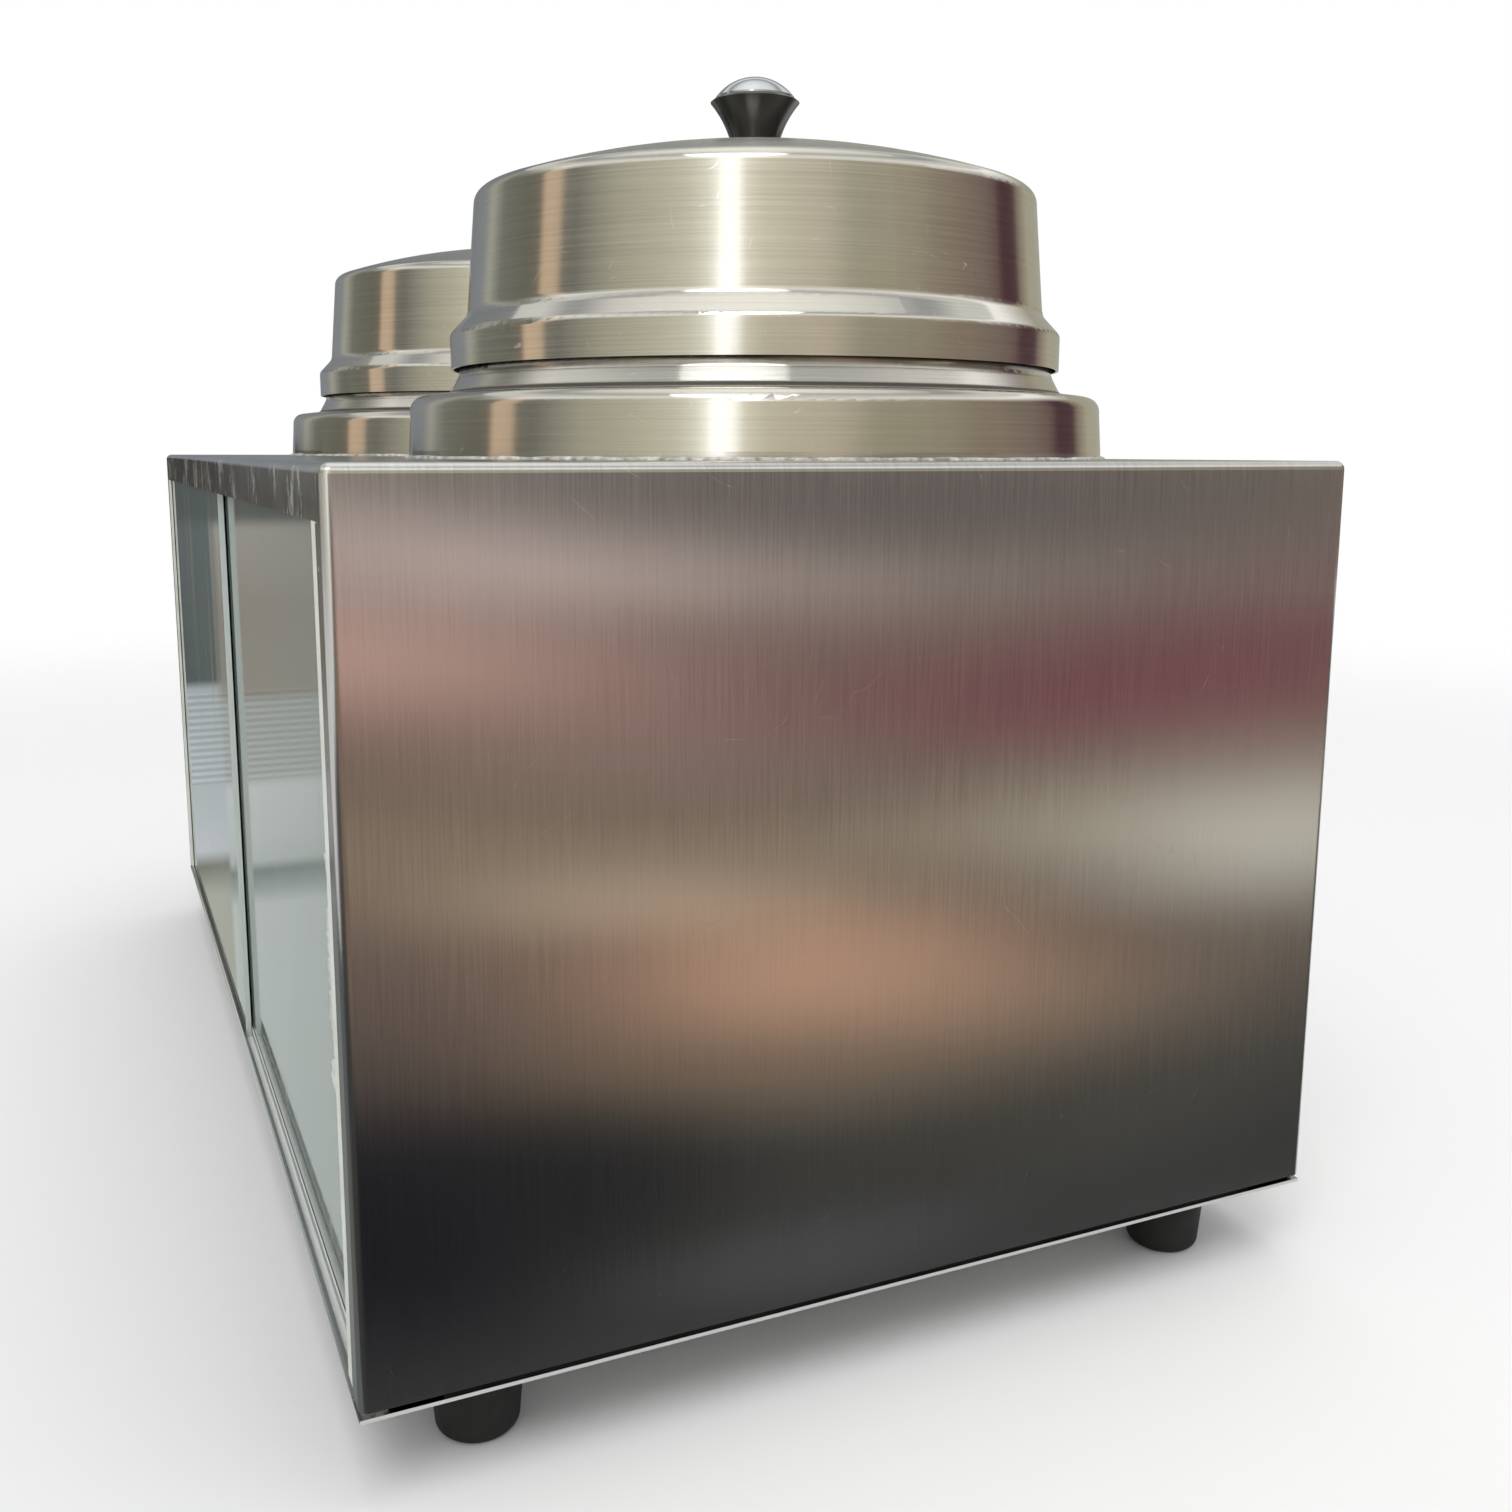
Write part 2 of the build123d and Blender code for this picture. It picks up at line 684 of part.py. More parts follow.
    # Lid: skirt, flare, tall tapered wall and a shallow dome, spun from one sheet
    lid_plane = Plane((well_x, well_y, lid_z), x_dir=(1, 0, 0), z_dir=(0, -1, 0))
    flare_radius = lid_skirt_radius - lid_flare_in
    flare_top = lid_skirt_height + lid_flare_rise
    with BuildPart() as lid:
        with BuildSketch(lid_plane):
            with BuildLine() as lid_line:
                Polyline(
                    (lid_skirt_radius, 0),
                    (lid_skirt_radius, lid_skirt_height),
                    (flare_radius, flare_top),
                    (lid_top_radius, lid_wall_top),
                )
                RadiusArc(
                    (lid_top_radius, lid_wall_top),
                    (0, lid_wall_top + lid_dome_rise),
                    -lid_dome_radius,
                )
                corners = (
                    (lid_skirt_radius, lid_skirt_height, lid_skirt_round),
                    (flare_radius, flare_top, lid_flare_round),
                    (lid_top_radius, lid_wall_top, lid_top_round),
                )
                for corner_r, corner_z, rounding in corners:
                    nearest = lid_line.vertices().sort_by_distance((corner_r, corner_z))
                    fillet(nearest[0], radius=rounding)
                offset(amount=lid_sheet, side=Side.LEFT, closed=True)
            make_face()
        revolve(axis=well_axis)
        with BuildSketch(Plane.XY.offset(lid_top - lid_sheet)):
            with Locations((well_x, well_y)):
                Circle(knob_screw_radius + bore_clearance)
        extrude(amount=2 * lid_sheet, both=True, mode=Mode.SUBTRACT)
    lid.part.label = f"lid_{side}"
    export_step(lid.part, f"parts/lid_{side}.step")

    # Lid knob: a waisted black grip with a bright domed cap and a screw from below
    knob_plane = Plane((well_x, well_y, lid_top), x_dir=(1, 0, 0), z_dir=(0, -1, 0))
    with BuildPart() as lid_knob:
        with BuildSketch(knob_plane):
            with BuildLine():
                ThreePointArc(
                    (lid_knob_foot, 0),
                    (lid_knob_waist, lid_knob_waist_height),
                    (lid_knob_radius, lid_knob_flare_height),
                )
                Polyline(
                    (lid_knob_radius, lid_knob_flare_height),
                    (lid_knob_land, lid_knob_height),
                    (0, lid_knob_height),
                    (0, 0),
                    (lid_knob_foot, 0),
                )
            make_face()
        revolve(axis=well_axis)
        with BuildSketch(Plane.XY.offset(lid_top)):
            with Locations((well_x, well_y)):
                Circle(knob_screw_radius + bore_clearance)
        extrude(amount=knob_screw_grip + bore_clearance, mode=Mode.SUBTRACT)
        with BuildSketch(Plane.XY.offset(lid_top + lid_knob_height)):
            with Locations((well_x, well_y)):
                Circle(cap_spigot_radius + bore_clearance)
        extrude(amount=-(cap_spigot_length + bore_clearance), mode=Mode.SUBTRACT)
    lid_knob.part.label = f"lid_knob_{side}"
    export_step(lid_knob.part, f"parts/lid_knob_{side}.step")

    cap_z = lid_top + lid_knob_height
    cap_plane = Plane((well_x, well_y, cap_z), x_dir=(1, 0, 0), z_dir=(0, -1, 0))
    with BuildPart() as knob_cap:
        with BuildSketch(cap_plane):
            with BuildLine():
                Line((0, 0), (cap_radius, 0))
                Line((cap_radius, 0), (cap_radius, cap_rim))
                cap_bulge = (cap_radius**2 + cap_rise**2) / (2 * cap_rise)
                RadiusArc((cap_radius, cap_rim), (0, cap_rim + cap_rise), -cap_bulge)
                Line((0, cap_rim + cap_rise), (0, 0))
            make_face()
        revolve(axis=well_axis)
        with BuildSketch(Plane.XY.offset(cap_z)):
            with Locations((well_x, well_y)):
                Circle(cap_spigot_radius)
        extrude(amount=-cap_spigot_length)
    knob_cap.part.label = f"knob_cap_{side}"
    export_step(knob_cap.part, f"parts/knob_cap_{side}.step")

    with BuildPart() as knob_screw:
        head_top = lid_top - lid_sheet - bore_clearance
        with BuildSketch(Plane.XY.offset(head_top)):
            with Locations((well_x, well_y)):
                Circle(knob_screw_head_radius)
        extrude(amount=-knob_screw_head)
        with BuildSketch(Plane.XY.offset(head_top)):
            with Locations((well_x, well_y)):
                Circle(knob_screw_radius)
        extrude(amount=lid_top + knob_screw_grip - head_top)
    knob_screw.part.label = f"knob_screw_{side}"
    export_step(knob_screw.part, f"parts/knob_screw_{side}.step")

# Nuts on the vessels' studs
with BuildPart() as heater_nuts:
    with BuildSketch(Plane.XY.offset(nut_top)):
        with Locations(*[(x, well_y) for x in well_xs.values()]):
            RegularPolygon(nut_across_flats / 2, 6, major_radius=False)
            Circle(stud_radius + bore_clearance, mode=Mode.SUBTRACT)
    extrude(amount=-nut_height)
heater_nuts.part.label = "heater_nuts"
export_step(heater_nuts.part, "parts/heater_nuts.step")

# Thermostats with their bushings and nuts, the shafts, the control knobs and the bulbs
thermostat_y = rear_panel_y - lap_gap
bushing_end_y = rear_y + bushing_length
knob_y = rear_y + control_knob_standoff
for side, sign in signs.items():
    control_x = sign * control_pitch / 2
    control_axis = Axis((control_x, 0, control_z), (0, 1, 0))

    with BuildPart() as thermostat:
        with BuildSketch(Plane.XZ.offset(-thermostat_y)):
            with Locations((control_x, control_z)):
                Rectangle(thermostat_width, thermostat_height)
        extrude(amount=thermostat_depth)
        fillet(thermostat.edges().filter_by(Axis.Y), radius=bend_radius)
        with BuildSketch(Plane.XZ.offset(-thermostat_y)):
            with Locations((control_x, control_z)):
                Circle(bushing_radius)
        extrude(amount=-(bushing_end_y - thermostat_y))
        with BuildSketch(Plane.XZ.offset(-bushing_end_y)):
            with Locations((control_x, control_z)):
                Circle(shaft_radius + shaft_clearance)
        extrude(amount=bushing_end_y - thermostat_y + shaft_depth, mode=Mode.SUBTRACT)
        with BuildSketch(Plane.XZ.offset(-fitting_y)):
            with Locations((control_x, control_z)):
                RegularPolygon(bushing_nut_flats / 2, 6, major_radius=False)
                Circle(bushing_radius + bore_clearance, mode=Mode.SUBTRACT)
        extrude(amount=-bushing_nut_height)
    thermostat.part.label = f"thermostat_{side}"
    export_step(thermostat.part, f"parts/thermostat_{side}.step")

    shaft_start_y = thermostat_y - shaft_depth + bore_clearance
    shaft_end_y = knob_y + control_knob_bore - bore_clearance
    flat_y = knob_y + control_knob_recess
    with BuildPart() as control_shaft:
        with BuildSketch(Plane.XZ.offset(-shaft_start_y)):
            with Locations((control_x, control_z)):
                Circle(shaft_radius)
        extrude(amount=-(shaft_end_y - shaft_start_y))
        with BuildSketch(Plane.XZ.offset(-flat_y)):
            with Locations((control_x, control_z + shaft_radius - shaft_flat)):
                Rectangle(2 * shaft_radius, shaft_radius, align=(Align.CENTER, Align.MIN))
        extrude(amount=-(shaft_end_y - flat_y), mode=Mode.SUBTRACT)
    control_shaft.part.label = f"control_shaft_{side}"
    export_step(control_shaft.part, f"parts/control_shaft_{side}.step")

    # Control knob: a round skirt with a straight grip and a pointer groove
    with BuildPart() as control_knob:
        with BuildSketch(Plane.XZ.offset(-knob_y)):
            with Locations((control_x, control_z)):
                Circle(control_knob_radius)
        extrude(amount=-control_knob_skirt)
        fillet(control_knob.edges().sort_by(Axis.Y)[-1], radius=control_knob_round)
        with BuildSketch(Plane.XZ.offset(-(knob_y + control_knob_skirt))):
            with Locations((control_x, control_z)):
                SlotOverall(
                    2 * (control_knob_radius - control_knob_skirt / 2),
                    control_knob_grip_width,
                    rotation=90,
                )
                Circle(control_knob_recess_radius)
        extrude(amount=-(control_knob_height - control_knob_skirt), taper=control_knob_draft)
        fillet(control_knob.faces().sort_by(Axis.Y)[-1].edges(), radius=pointer_width)
        with BuildSketch(Plane.XZ.offset(-(knob_y + control_knob_height))):
            with Locations((control_x, control_z)):
                Rectangle(
                    pointer_width, control_knob_radius, align=(Align.CENTER, Align.MIN)
                )
        extrude(amount=pointer_depth, mode=Mode.SUBTRACT)
        with BuildSketch(Plane.XZ.offset(-knob_y)):
            with Locations((control_x, control_z)):
                Circle(control_knob_recess_radius)
        extrude(amount=-control_knob_recess, mode=Mode.SUBTRACT)
        with BuildSketch(Plane.XZ.offset(-(knob_y + control_knob_recess))):
            with Locations((control_x, control_z)):
                Circle(shaft_radius + knob_clearance)
            with Locations((control_x, control_z + shaft_radius - shaft_flat + knob_clearance)):
                Rectangle(
                    3 * shaft_radius,
                    2 * shaft_radius,
                    align=(Align.CENTER, Align.MIN),
                    mode=Mode.SUBTRACT,
                )
        extrude(amount=-(control_knob_bore - control_knob_recess), mode=Mode.SUBTRACT)
    control_knob.part.label = f"control_knob_{side}"
    export_step(control_knob.part, f"parts/control_knob_{side}.step")

    # Pilot lens above each control knob
    with BuildPart() as pilot_lens:
        with BuildSketch(Plane((control_x, fitting_y + pilot_flange, pilot_z))):
            with BuildLine():
                lens_bulge = (lens_radius**2 + lens_rise**2) / (2 * lens_rise)
                Line((0, 0), (lens_radius, 0))
                RadiusArc((lens_radius, 0), (0, lens_rise), -lens_bulge)
                Line((0, lens_rise), (0, 0))
            make_face()
        revolve(axis=Axis((control_x, 0, pilot_z), (0, 1, 0)))
        with BuildSketch(Plane.XZ.offset(-(fitting_y + pilot_flange))):
            with Locations((control_x, pilot_z)):
                Circle(pilot_radius - pilot_wall - bore_clearance)
        extrude(amount=lens_stem)
    pilot_lens.part.label = f"pilot_lens_{side}"
    export_step(pilot_lens.part, f"parts/pilot_lens_{side}.step")

    # Sensing bulb against the vessel, with its capillary bent up to the thermostat
    well_x = well_xs[side]
    bulb_z = deck_z - bulb_drop
    bulb_reach = vessel_outer + bulb_gap + bulb_radius
    radial = Vector(sign * cos(radians(bulb_angle)), sin(radians(bulb_angle)), 0)
    along = Vector(sign * sin(radians(bulb_angle)), -cos(radians(bulb_angle)), 0)
    bulb_centre = Vector(well_x, well_y, bulb_z) + radial * bulb_reach
    bulb_start = bulb_centre - along * (bulb_length / 2)
    bulb_end = bulb_centre + along * (bulb_length / 2)
    entry_x = control_x
    entry_y = thermostat_y - thermostat_depth / 2
    entry_z = control_z - thermostat_height / 2
    turn = bulb_end + along * (2 * capillary_bend)
    with BuildPart() as sensing_bulb:
        with BuildSketch(Plane(bulb_start, z_dir=along)):
            Circle(bulb_radius)
        extrude(amount=bulb_length)
        with BuildLine() as capillary_path:
            FilletPolyline(
                bulb_end,
                turn,
                Vector(entry_x, entry_y, bulb_z),
                Vector(entry_x, entry_y, entry_z),
                radius=capillary_bend,
            )
        with BuildSketch(Plane(bulb_end, z_dir=along)):
            Circle(capillary_radius)
        sweep(path=capillary_path.wires()[0])
    sensing_bulb.part.label = f"sensing_bulb_{side}"
    export_step(sensing_bulb.part, f"parts/sensing_bulb_{side}.step")

with BuildPart() as pilot_holders:
    with BuildSketch(Plane.XZ.offset(-fitting_y)):
        with Locations(*[(u, pilot_z) for u in control_us]):
            Circle(pilot_flange_radius)
    extrude(amount=-pilot_flange)
    with BuildSketch(Plane.XZ.offset(-fitting_y)):
        with Locations(*[(u, pilot_z) for u in control_us]):
            Circle(pilot_radius)
    extrude(amount=pilot_length)
    with BuildSketch(Plane.XZ.offset(-(fitting_y + pilot_flange))):
        with Locations(*[(u, pilot_z) for u in control_us]):
            Circle(pilot_radius - pilot_wall)
    extrude(amount=pilot_length - pilot_wall, mode=Mode.SUBTRACT)
pilot_holders.part.label = "pilot_holders"
export_step(pilot_holders.part, "parts/pilot_holders.step")

# Lamp switch: a snap-in housing and its rocker, which tips on two short pins
rocker_y = fitting_y + switch_bezel / 2
with BuildPart() as switch_housing:
    with BuildSketch(Plane.XZ.offset(-fitting_y)):
        with Locations((0, switch_z)):
            Rectangle(switch_width, switch_height)
    extrude(amount=-switch_bezel)
    fillet(switch_housing.edges().filter_by(Axis.Y), radius=switch_round)
    with BuildSketch(Plane.XZ.offset(-fitting_y)):
        with Locations((0, switch_z)):
            Rectangle(switch_body_width, switch_body_height)
    extrude(amount=switch_depth)
    with BuildSketch(Plane.XZ.offset(-(fitting_y + switch_bezel))):
        with Locations((0, switch_z)):
            Rectangle(switch_pocket_width, switch_pocket_height)
    extrude(amount=switch_pocket_depth, mode=Mode.SUBTRACT)
    pin_span = switch_pocket_width + 2 * (rocker_pin_length + bore_clearance)
    with BuildSketch(Plane.YZ.offset(-pin_span / 2)):
        with Locations((rocker_y, switch_z)):
            Circle(rocker_pin_radius + shaft_clearance)
    extrude(amount=pin_span, mode=Mode.SUBTRACT)
switch_housing.part.label = "switch_housing"
export_step(switch_housing.part, "parts/switch_housing.step")

tilt = radians(rocker_tilt)
rocker_plane = Plane(
    (rocker_width / 2, rocker_y, switch_z),
    x_dir=(0, -sin(tilt), cos(tilt)),
    z_dir=(-1, 0, 0),
)
with BuildPart() as switch_rocker:
    with BuildSketch(rocker_plane):
        with BuildLine():
            ThreePointArc((-rocker_half, rocker_crest), (0, rocker_dip), (rocker_half, rocker_crest))
            Polyline(
                (rocker_half, rocker_crest),
                (rocker_half, -rocker_dip),
                (0, -rocker_keel),
                (-rocker_half, -rocker_dip),
                (-rocker_half, rocker_crest),
            )
        make_face()
    extrude(amount=rocker_width)
    rocker_span = switch_pocket_width + 2 * rocker_pin_length
    with BuildSketch(Plane.YZ.offset(-rocker_span / 2)):
        with Locations((rocker_y, switch_z)):
            Circle(rocker_pin_radius)
    extrude(amount=rocker_span)
switch_rocker.part.label = "switch_rocker"
export_step(switch_rocker.part, "parts/switch_rocker.step")

# Terminal block on the base pan between the wells
terminal_y = rear_y - terminal_setback
with BuildPart() as terminal_block:
    with BuildSketch(Plane.XY.offset(pan_top)):
        with Locations((0, terminal_y)):
            Rectangle(terminal_length, terminal_width)
    extrude(amount=terminal_height)
    with BuildSketch(Plane.XY.offset(pan_top + terminal_height)):
        with Locations((0, terminal_y)):
            with GridLocations(terminal_length / terminal_ways, 0, terminal_ways, 1):
                Rectangle(terminal_slot, terminal_width - 2 * terminal_wall)
    extrude(amount=-terminal_slot_depth, mode=Mode.SUBTRACT)
terminal_block.part.label = "terminal_block"
export_step(terminal_block.part, "parts/terminal_block.step")

# Cord gland through the rear panel, with its locknut inside
with BuildPart() as cord_gland:
    gland_place = (gland_x, gland_z)
    with BuildSketch(Plane.XZ.offset(-fitting_y)):
        with Locations(gland_place):
            RegularPolygon(gland_flats / 2, 6, major_radius=False)
    extrude(amount=-gland_flange)
    with BuildSketch(Plane.XZ.offset(-(fitting_y + gland_flange))):
        with Locations(gland_place):
            Circle(gland_dome_radius)
    extrude(amount=-gland_dome_length)
    fillet(cord_gland.edges().sort_by(Axis.Y)[-1], radius=bend_radius)
    with BuildSketch(Plane.XZ.offset(-fitting_y)):
        with Locations(gland_place):
            Circle(gland_thread_radius)
    extrude(amount=gland_thread_length)
    with BuildSketch(Plane.XZ.offset(-(fitting_y + gland_flange + gland_dome_length))):
        with Locations(gland_place):
            Circle(gland_bore)
    extrude(
        amount=gland_flange + gland_dome_length + gland_thread_length,
        mode=Mode.SUBTRACT,
    )
    with BuildSketch(Plane.XZ.offset(-(rear_panel_y - lap_gap))):
        with Locations(gland_place):
            RegularPolygon(gland_nut_flats / 2, 6, major_radius=False)
            Circle(gland_thread_radius + bore_clearance, mode=Mode.SUBTRACT)
    extrude(amount=gland_nut_height)
cord_gland.part.label = "cord_gland"
export_step(cord_gland.part, "parts/cord_gland.step")

# Rubber feet, with their screws up through the pan and nuts on top of it
for place, (foot_x, foot_y) in foot_places.items():
    with BuildPart() as foot:
        with BuildSketch(Plane.XY):
            with Locations((foot_x, foot_y)):
                Circle(foot_sole_radius)
        with BuildSketch(Plane.XY.offset(pan_z)):
            with Locations((foot_x, foot_y)):
                Circle(foot_top_radius)
        loft()
        fillet(foot.edges().sort_by(Axis.Z)[0], radius=foot_round)
        with BuildSketch(Plane.XY):
            with Locations((foot_x, foot_y)):
                Circle(foot_recess_radius)
        extrude(amount=foot_recess, mode=Mode.SUBTRACT)
        with BuildSketch(Plane.XY):
            with Locations((foot_x, foot_y)):
                Circle(foot_screw_radius + bore_clearance)
        extrude(amount=pan_z, mode=Mode.SUBTRACT)
    foot.part.label = f"foot_{place}"
    export_step(foot.part, f"parts/foot_{place}.step")

with BuildPart() as foot_screws:
    with BuildSketch(Plane.XY.offset(foot_recess)):
        with Locations(*foot_places.values()):
            Circle(foot_screw_head_radius)
    extrude(amount=-foot_screw_head)
    with BuildSketch(Plane.XY.offset(foot_recess)):
        with Locations(*foot_places.values()):
            Circle(foot_screw_radius)
    extrude(amount=pan_top + foot_nut_height + foot_screw_radius - foot_recess)
foot_screws.part.label = "foot_screws"
export_step(foot_screws.part, "parts/foot_screws.step")

with BuildPart() as foot_nuts:
    with BuildSketch(Plane.XY.offset(pan_top)):
        with Locations(*foot_places.values()):
            RegularPolygon(foot_nut_flats / 2, 6, major_radius=False)
            Circle(foot_screw_radius + bore_clearance, mode=Mode.SUBTRACT)
    extrude(amount=foot_nut_height)
foot_nuts.part.label = "foot_nuts"
export_step(foot_nuts.part, "parts/foot_nuts.step")

# Screws under the pan into the stay angles, and round the rear panel
with BuildPart() as base_screws_part:
    with BuildSketch(Plane.XY.offset(pan_z)):
        with Locations(*base_screws):
            Circle(screw_head_radius)
    extrude(amount=-screw_head)
    fillet(base_screws_part.edges().group_by(Axis.Z)[0], radius=screw_head / 2)
    with BuildSketch(Plane.XY.offset(pan_z)):
        with Locations(*base_screws):
            Circle(screw_radius)
    extrude(amount=sheet + angle_thickness + screw_tail)
base_screws_part.part.label = "base_screws"
export_step(base_screws_part.part, "parts/base_screws.step")

with BuildPart() as rear_screws_part:
    with BuildSketch(rear_plane):
        with Locations(*[(-x, z) for x, z in rear_screws]):
            Circle(screw_head_radius)
    extrude(amount=screw_head)
    fillet(rear_screws_part.edges().group_by(Axis.Y)[-1], radius=screw_head / 2)
    with BuildSketch(rear_plane):
        with Locations(*[(-x, z) for x, z in rear_screws]):
            Circle(screw_radius)
    extrude(amount=-(2 * sheet + lap_gap + screw_tail))
rear_screws_part.part.label = "rear_panel_screws"
export_step(rear_screws_part.part, "parts/rear_panel_screws.step")

# Wiring: terminal block to thermostats, heaters and switch, and ballast to lamp holders


def bend_radii(points):
    radii = []
    for before, corner, after in zip(points, points[1:], points[2:]):
        run_in = corner - before
        run_out = after - corner
        half_turn = radians(run_in.get_angle(run_out)) / 2
        radii.append(wire_slack * min(run_in.length, run_out.length) / tan(half_turn))
    return radii


up = Vector(0, 0, wire_rise)
down = Vector(0, 0, -wire_drop)
slot_z = pan_top + terminal_height - terminal_slot_depth
terminal_pitch = terminal_length / terminal_ways
ballast_top = Vector(ballast_x, ballast_y - ballast_width / 2, pan_top + ballast_height)
routes = []
for side, sign in signs.items():
    post = Vector(well_xs[side], well_y + heater_post_setback, clamp_top - heater_post_length)
    post_step = Vector(sign * heater_post_pitch / 2, 0, 0)
    entry = Vector(
        sign * control_pitch / 2,
        thermostat_y - wire_spread,
        control_z - thermostat_height / 2,
    )
    entry_step = Vector(sign * wire_spread, 0, 0)
    feed_slot = Vector(sign * terminal_pitch / 2, terminal_y, slot_z)
    return_slot = Vector(sign * (terminal_ways - 1) * terminal_pitch / 2, terminal_y, slot_z)
    near_post = post - post_step
    far_post = post + post_step
    side_sweep = Vector(sign * wire_sweep, 0, 0)
    rear_sweep = Vector(0, wire_sweep, 0)
    routes.append([feed_slot, feed_slot + up, entry - entry_step - up, entry - entry_step])
    routes.append(
        [
            entry + entry_step,
            entry + entry_step - 2 * up,
            near_post + down - side_sweep + rear_sweep,
            near_post + down,
            near_post,
        ]
    )
    routes.append(
        [
            far_post,
            far_post + down,
            far_post + down - side_sweep - rear_sweep,
            return_slot + up + side_sweep - rear_sweep,
            return_slot + up,
            return_slot,
        ]
    )
    lead_start = ballast_top + Vector(sign * ballast_lead_pitch / 2, 0, 0)
    lead_end = Vector(
        sign * (holder_x + holder_length / 2),
        reflector_y - lamp_lead_setback,
        lamp_z - holder_height / 2,
    )
    routes.append([lead_start, lead_start + up, lead_end - up, lead_end])
switch_back = Vector(0, fitting_y - switch_depth, switch_z)
block_top = Vector(0, terminal_y, pan_top + terminal_height)
routes.append([switch_back, switch_back - rear_sweep / 2, block_top + up, block_top])
with BuildPart() as wiring:
    for route in routes:
        with BuildLine() as wire_path:
            FilletPolyline(*route, radius=bend_radii(route))
        with BuildSketch(Plane(route[0], z_dir=route[1] - route[0])):
            Circle(wire_radius)
        sweep(path=wire_path.wires()[0])
wiring.part.label = "wiring"
export_step(wiring.part, "parts/wiring.step")
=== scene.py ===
import math
import random

import bmesh
import bpy
from mathutils import Euler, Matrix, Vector, noise


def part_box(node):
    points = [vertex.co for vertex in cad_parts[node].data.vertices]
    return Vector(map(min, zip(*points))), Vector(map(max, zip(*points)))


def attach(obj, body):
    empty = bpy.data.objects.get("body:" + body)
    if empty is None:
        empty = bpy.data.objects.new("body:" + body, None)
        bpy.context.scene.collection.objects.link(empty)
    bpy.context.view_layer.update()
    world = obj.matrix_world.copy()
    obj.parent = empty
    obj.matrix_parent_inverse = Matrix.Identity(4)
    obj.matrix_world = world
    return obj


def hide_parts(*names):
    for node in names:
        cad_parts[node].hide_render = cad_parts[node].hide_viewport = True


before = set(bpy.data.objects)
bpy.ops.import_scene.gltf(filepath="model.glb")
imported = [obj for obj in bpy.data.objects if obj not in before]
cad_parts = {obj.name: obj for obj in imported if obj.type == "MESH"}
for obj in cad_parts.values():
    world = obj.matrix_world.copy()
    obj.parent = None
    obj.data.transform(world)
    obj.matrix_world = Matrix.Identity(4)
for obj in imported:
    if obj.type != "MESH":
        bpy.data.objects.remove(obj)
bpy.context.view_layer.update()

scene = bpy.context.scene
millimetre = 0.001
sides = {"left": -1, "right": 1}
print("loaded", len(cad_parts), "nodes")


# Colours are written as sRGB hex and turned to linear here
def toLinear(hexColour):
    channels = [int(hexColour[i:i + 2], 16) / 255 for i in (1, 3, 5)]
    return [c / 12.92 if c <= 0.04045 else ((c + 0.055) / 1.055) ** 2.4 for c in channels] + [1.0]


# Names with a capital and numbers are inputs, which take a value or a link. A node stands for its first output
def setNode(node, settings):
    for key, value in settings.items():
        if key == "stops":
            ramp = node.color_ramp
            while len(ramp.elements) < len(value):
                ramp.elements.new(1.0)
            for element, (place, colour) in zip(ramp.elements, value):
                element.position, element.color = place, toLinear(colour)
        elif isinstance(value, (bpy.types.Node, bpy.types.NodeSocket)):
            source = value.outputs[0] if isinstance(value, bpy.types.Node) else value
            node.id_data.links.new(source, node.inputs[key])
        elif isinstance(key, int) or key[0].isupper():
            node.inputs[key].default_value = toLinear(value) if isinstance(value, str) else value
        else:
            setattr(node, key, value)


modeNames = {"Math": "operation", "VectorMath": "operation", "Mix": "data_type", "MapRange": "interpolation_type"}


# One node with its settings and links. A second word in kind is its mode, such as the sum that a Math node does
def addNode(tree, kind, settings=None):
    kind, _, mode = kind.partition(" ")
    node = tree.nodes.new("ShaderNode" + kind)
    if mode:
        setattr(node, modeNames[kind], mode)
    setNode(node, settings or {})
    return node


def startMaterial(name, settings):
    material = bpy.data.materials.new(name)
    material.use_nodes = True
    shader = material.node_tree.nodes["Principled BSDF"]
    setNode(shader, settings)
    return material, material.node_tree, shader


# A star in a name stands for each side in turn
def useMaterial(material, *names):
    for name in dict.fromkeys(name.replace("*", side) for name in names for side in sides):
        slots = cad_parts[name].data.materials
        slots.clear()
        slots.append(material)


def addToScene(data):
    thing = bpy.data.objects.new(data.name, data)
    scene.collection.objects.link(thing)
    return thing


# Camera close to the right-hand end and a little above the deck
camera = {
    "place": (0.5195, -0.1823, 0.2231), "heading": 24.216, "dip": 9.34, "roll": 0.133,
    "lens": 35.17, "sensor": 36.0, "shift": (0.0125, -0.0408), "clip": (0.01, 50),
}


def makeCamera(c):
    data = bpy.data.cameras.new("camera")
    data.lens, data.sensor_width, data.sensor_fit = c["lens"], c["sensor"], "HORIZONTAL"
    data.shift_x, data.shift_y = c["shift"]
    data.clip_start, data.clip_end = c["clip"]
    holder = addToScene(data)
    heading, dip = math.radians(c["heading"]), math.radians(c["dip"])
    look = Vector((-math.cos(heading) * math.cos(dip), math.sin(heading) * math.cos(dip), -math.sin(dip)))
    holder.rotation_euler = look.to_track_quat("-Z", "Y").to_euler()
    holder.rotation_euler.rotate_axis("Z", math.radians(c["roll"]))
    holder.location = c["place"]
    scene.camera = holder
    scene.view_settings.view_transform = "Standard"


makeCamera(camera)
print("camera made")

# Studio: pale floor, white surround, two soft lamps and cards that only mirrored rays meet
studio = {
    "floorRadius": 9.0, "floorSides": 96, "floorAlbedo": 0.9, "fadeFrom": 0.55, "fadeTo": 1.5, "surround": 0.72,
    "aim": (0, 0, 0.15), "lamps": {  # place, size and watts
        "keyLamp": ((1.26, -0.78, 2.1), 1.3, 16.0), "topLamp": ((0.2, 0.3, 2.4), 1.6, 12.0)},
}


def newTree(name):
    material = bpy.data.materials.new(name)
    material.use_nodes = True
    material.node_tree.nodes.clear()
    return material, material.node_tree


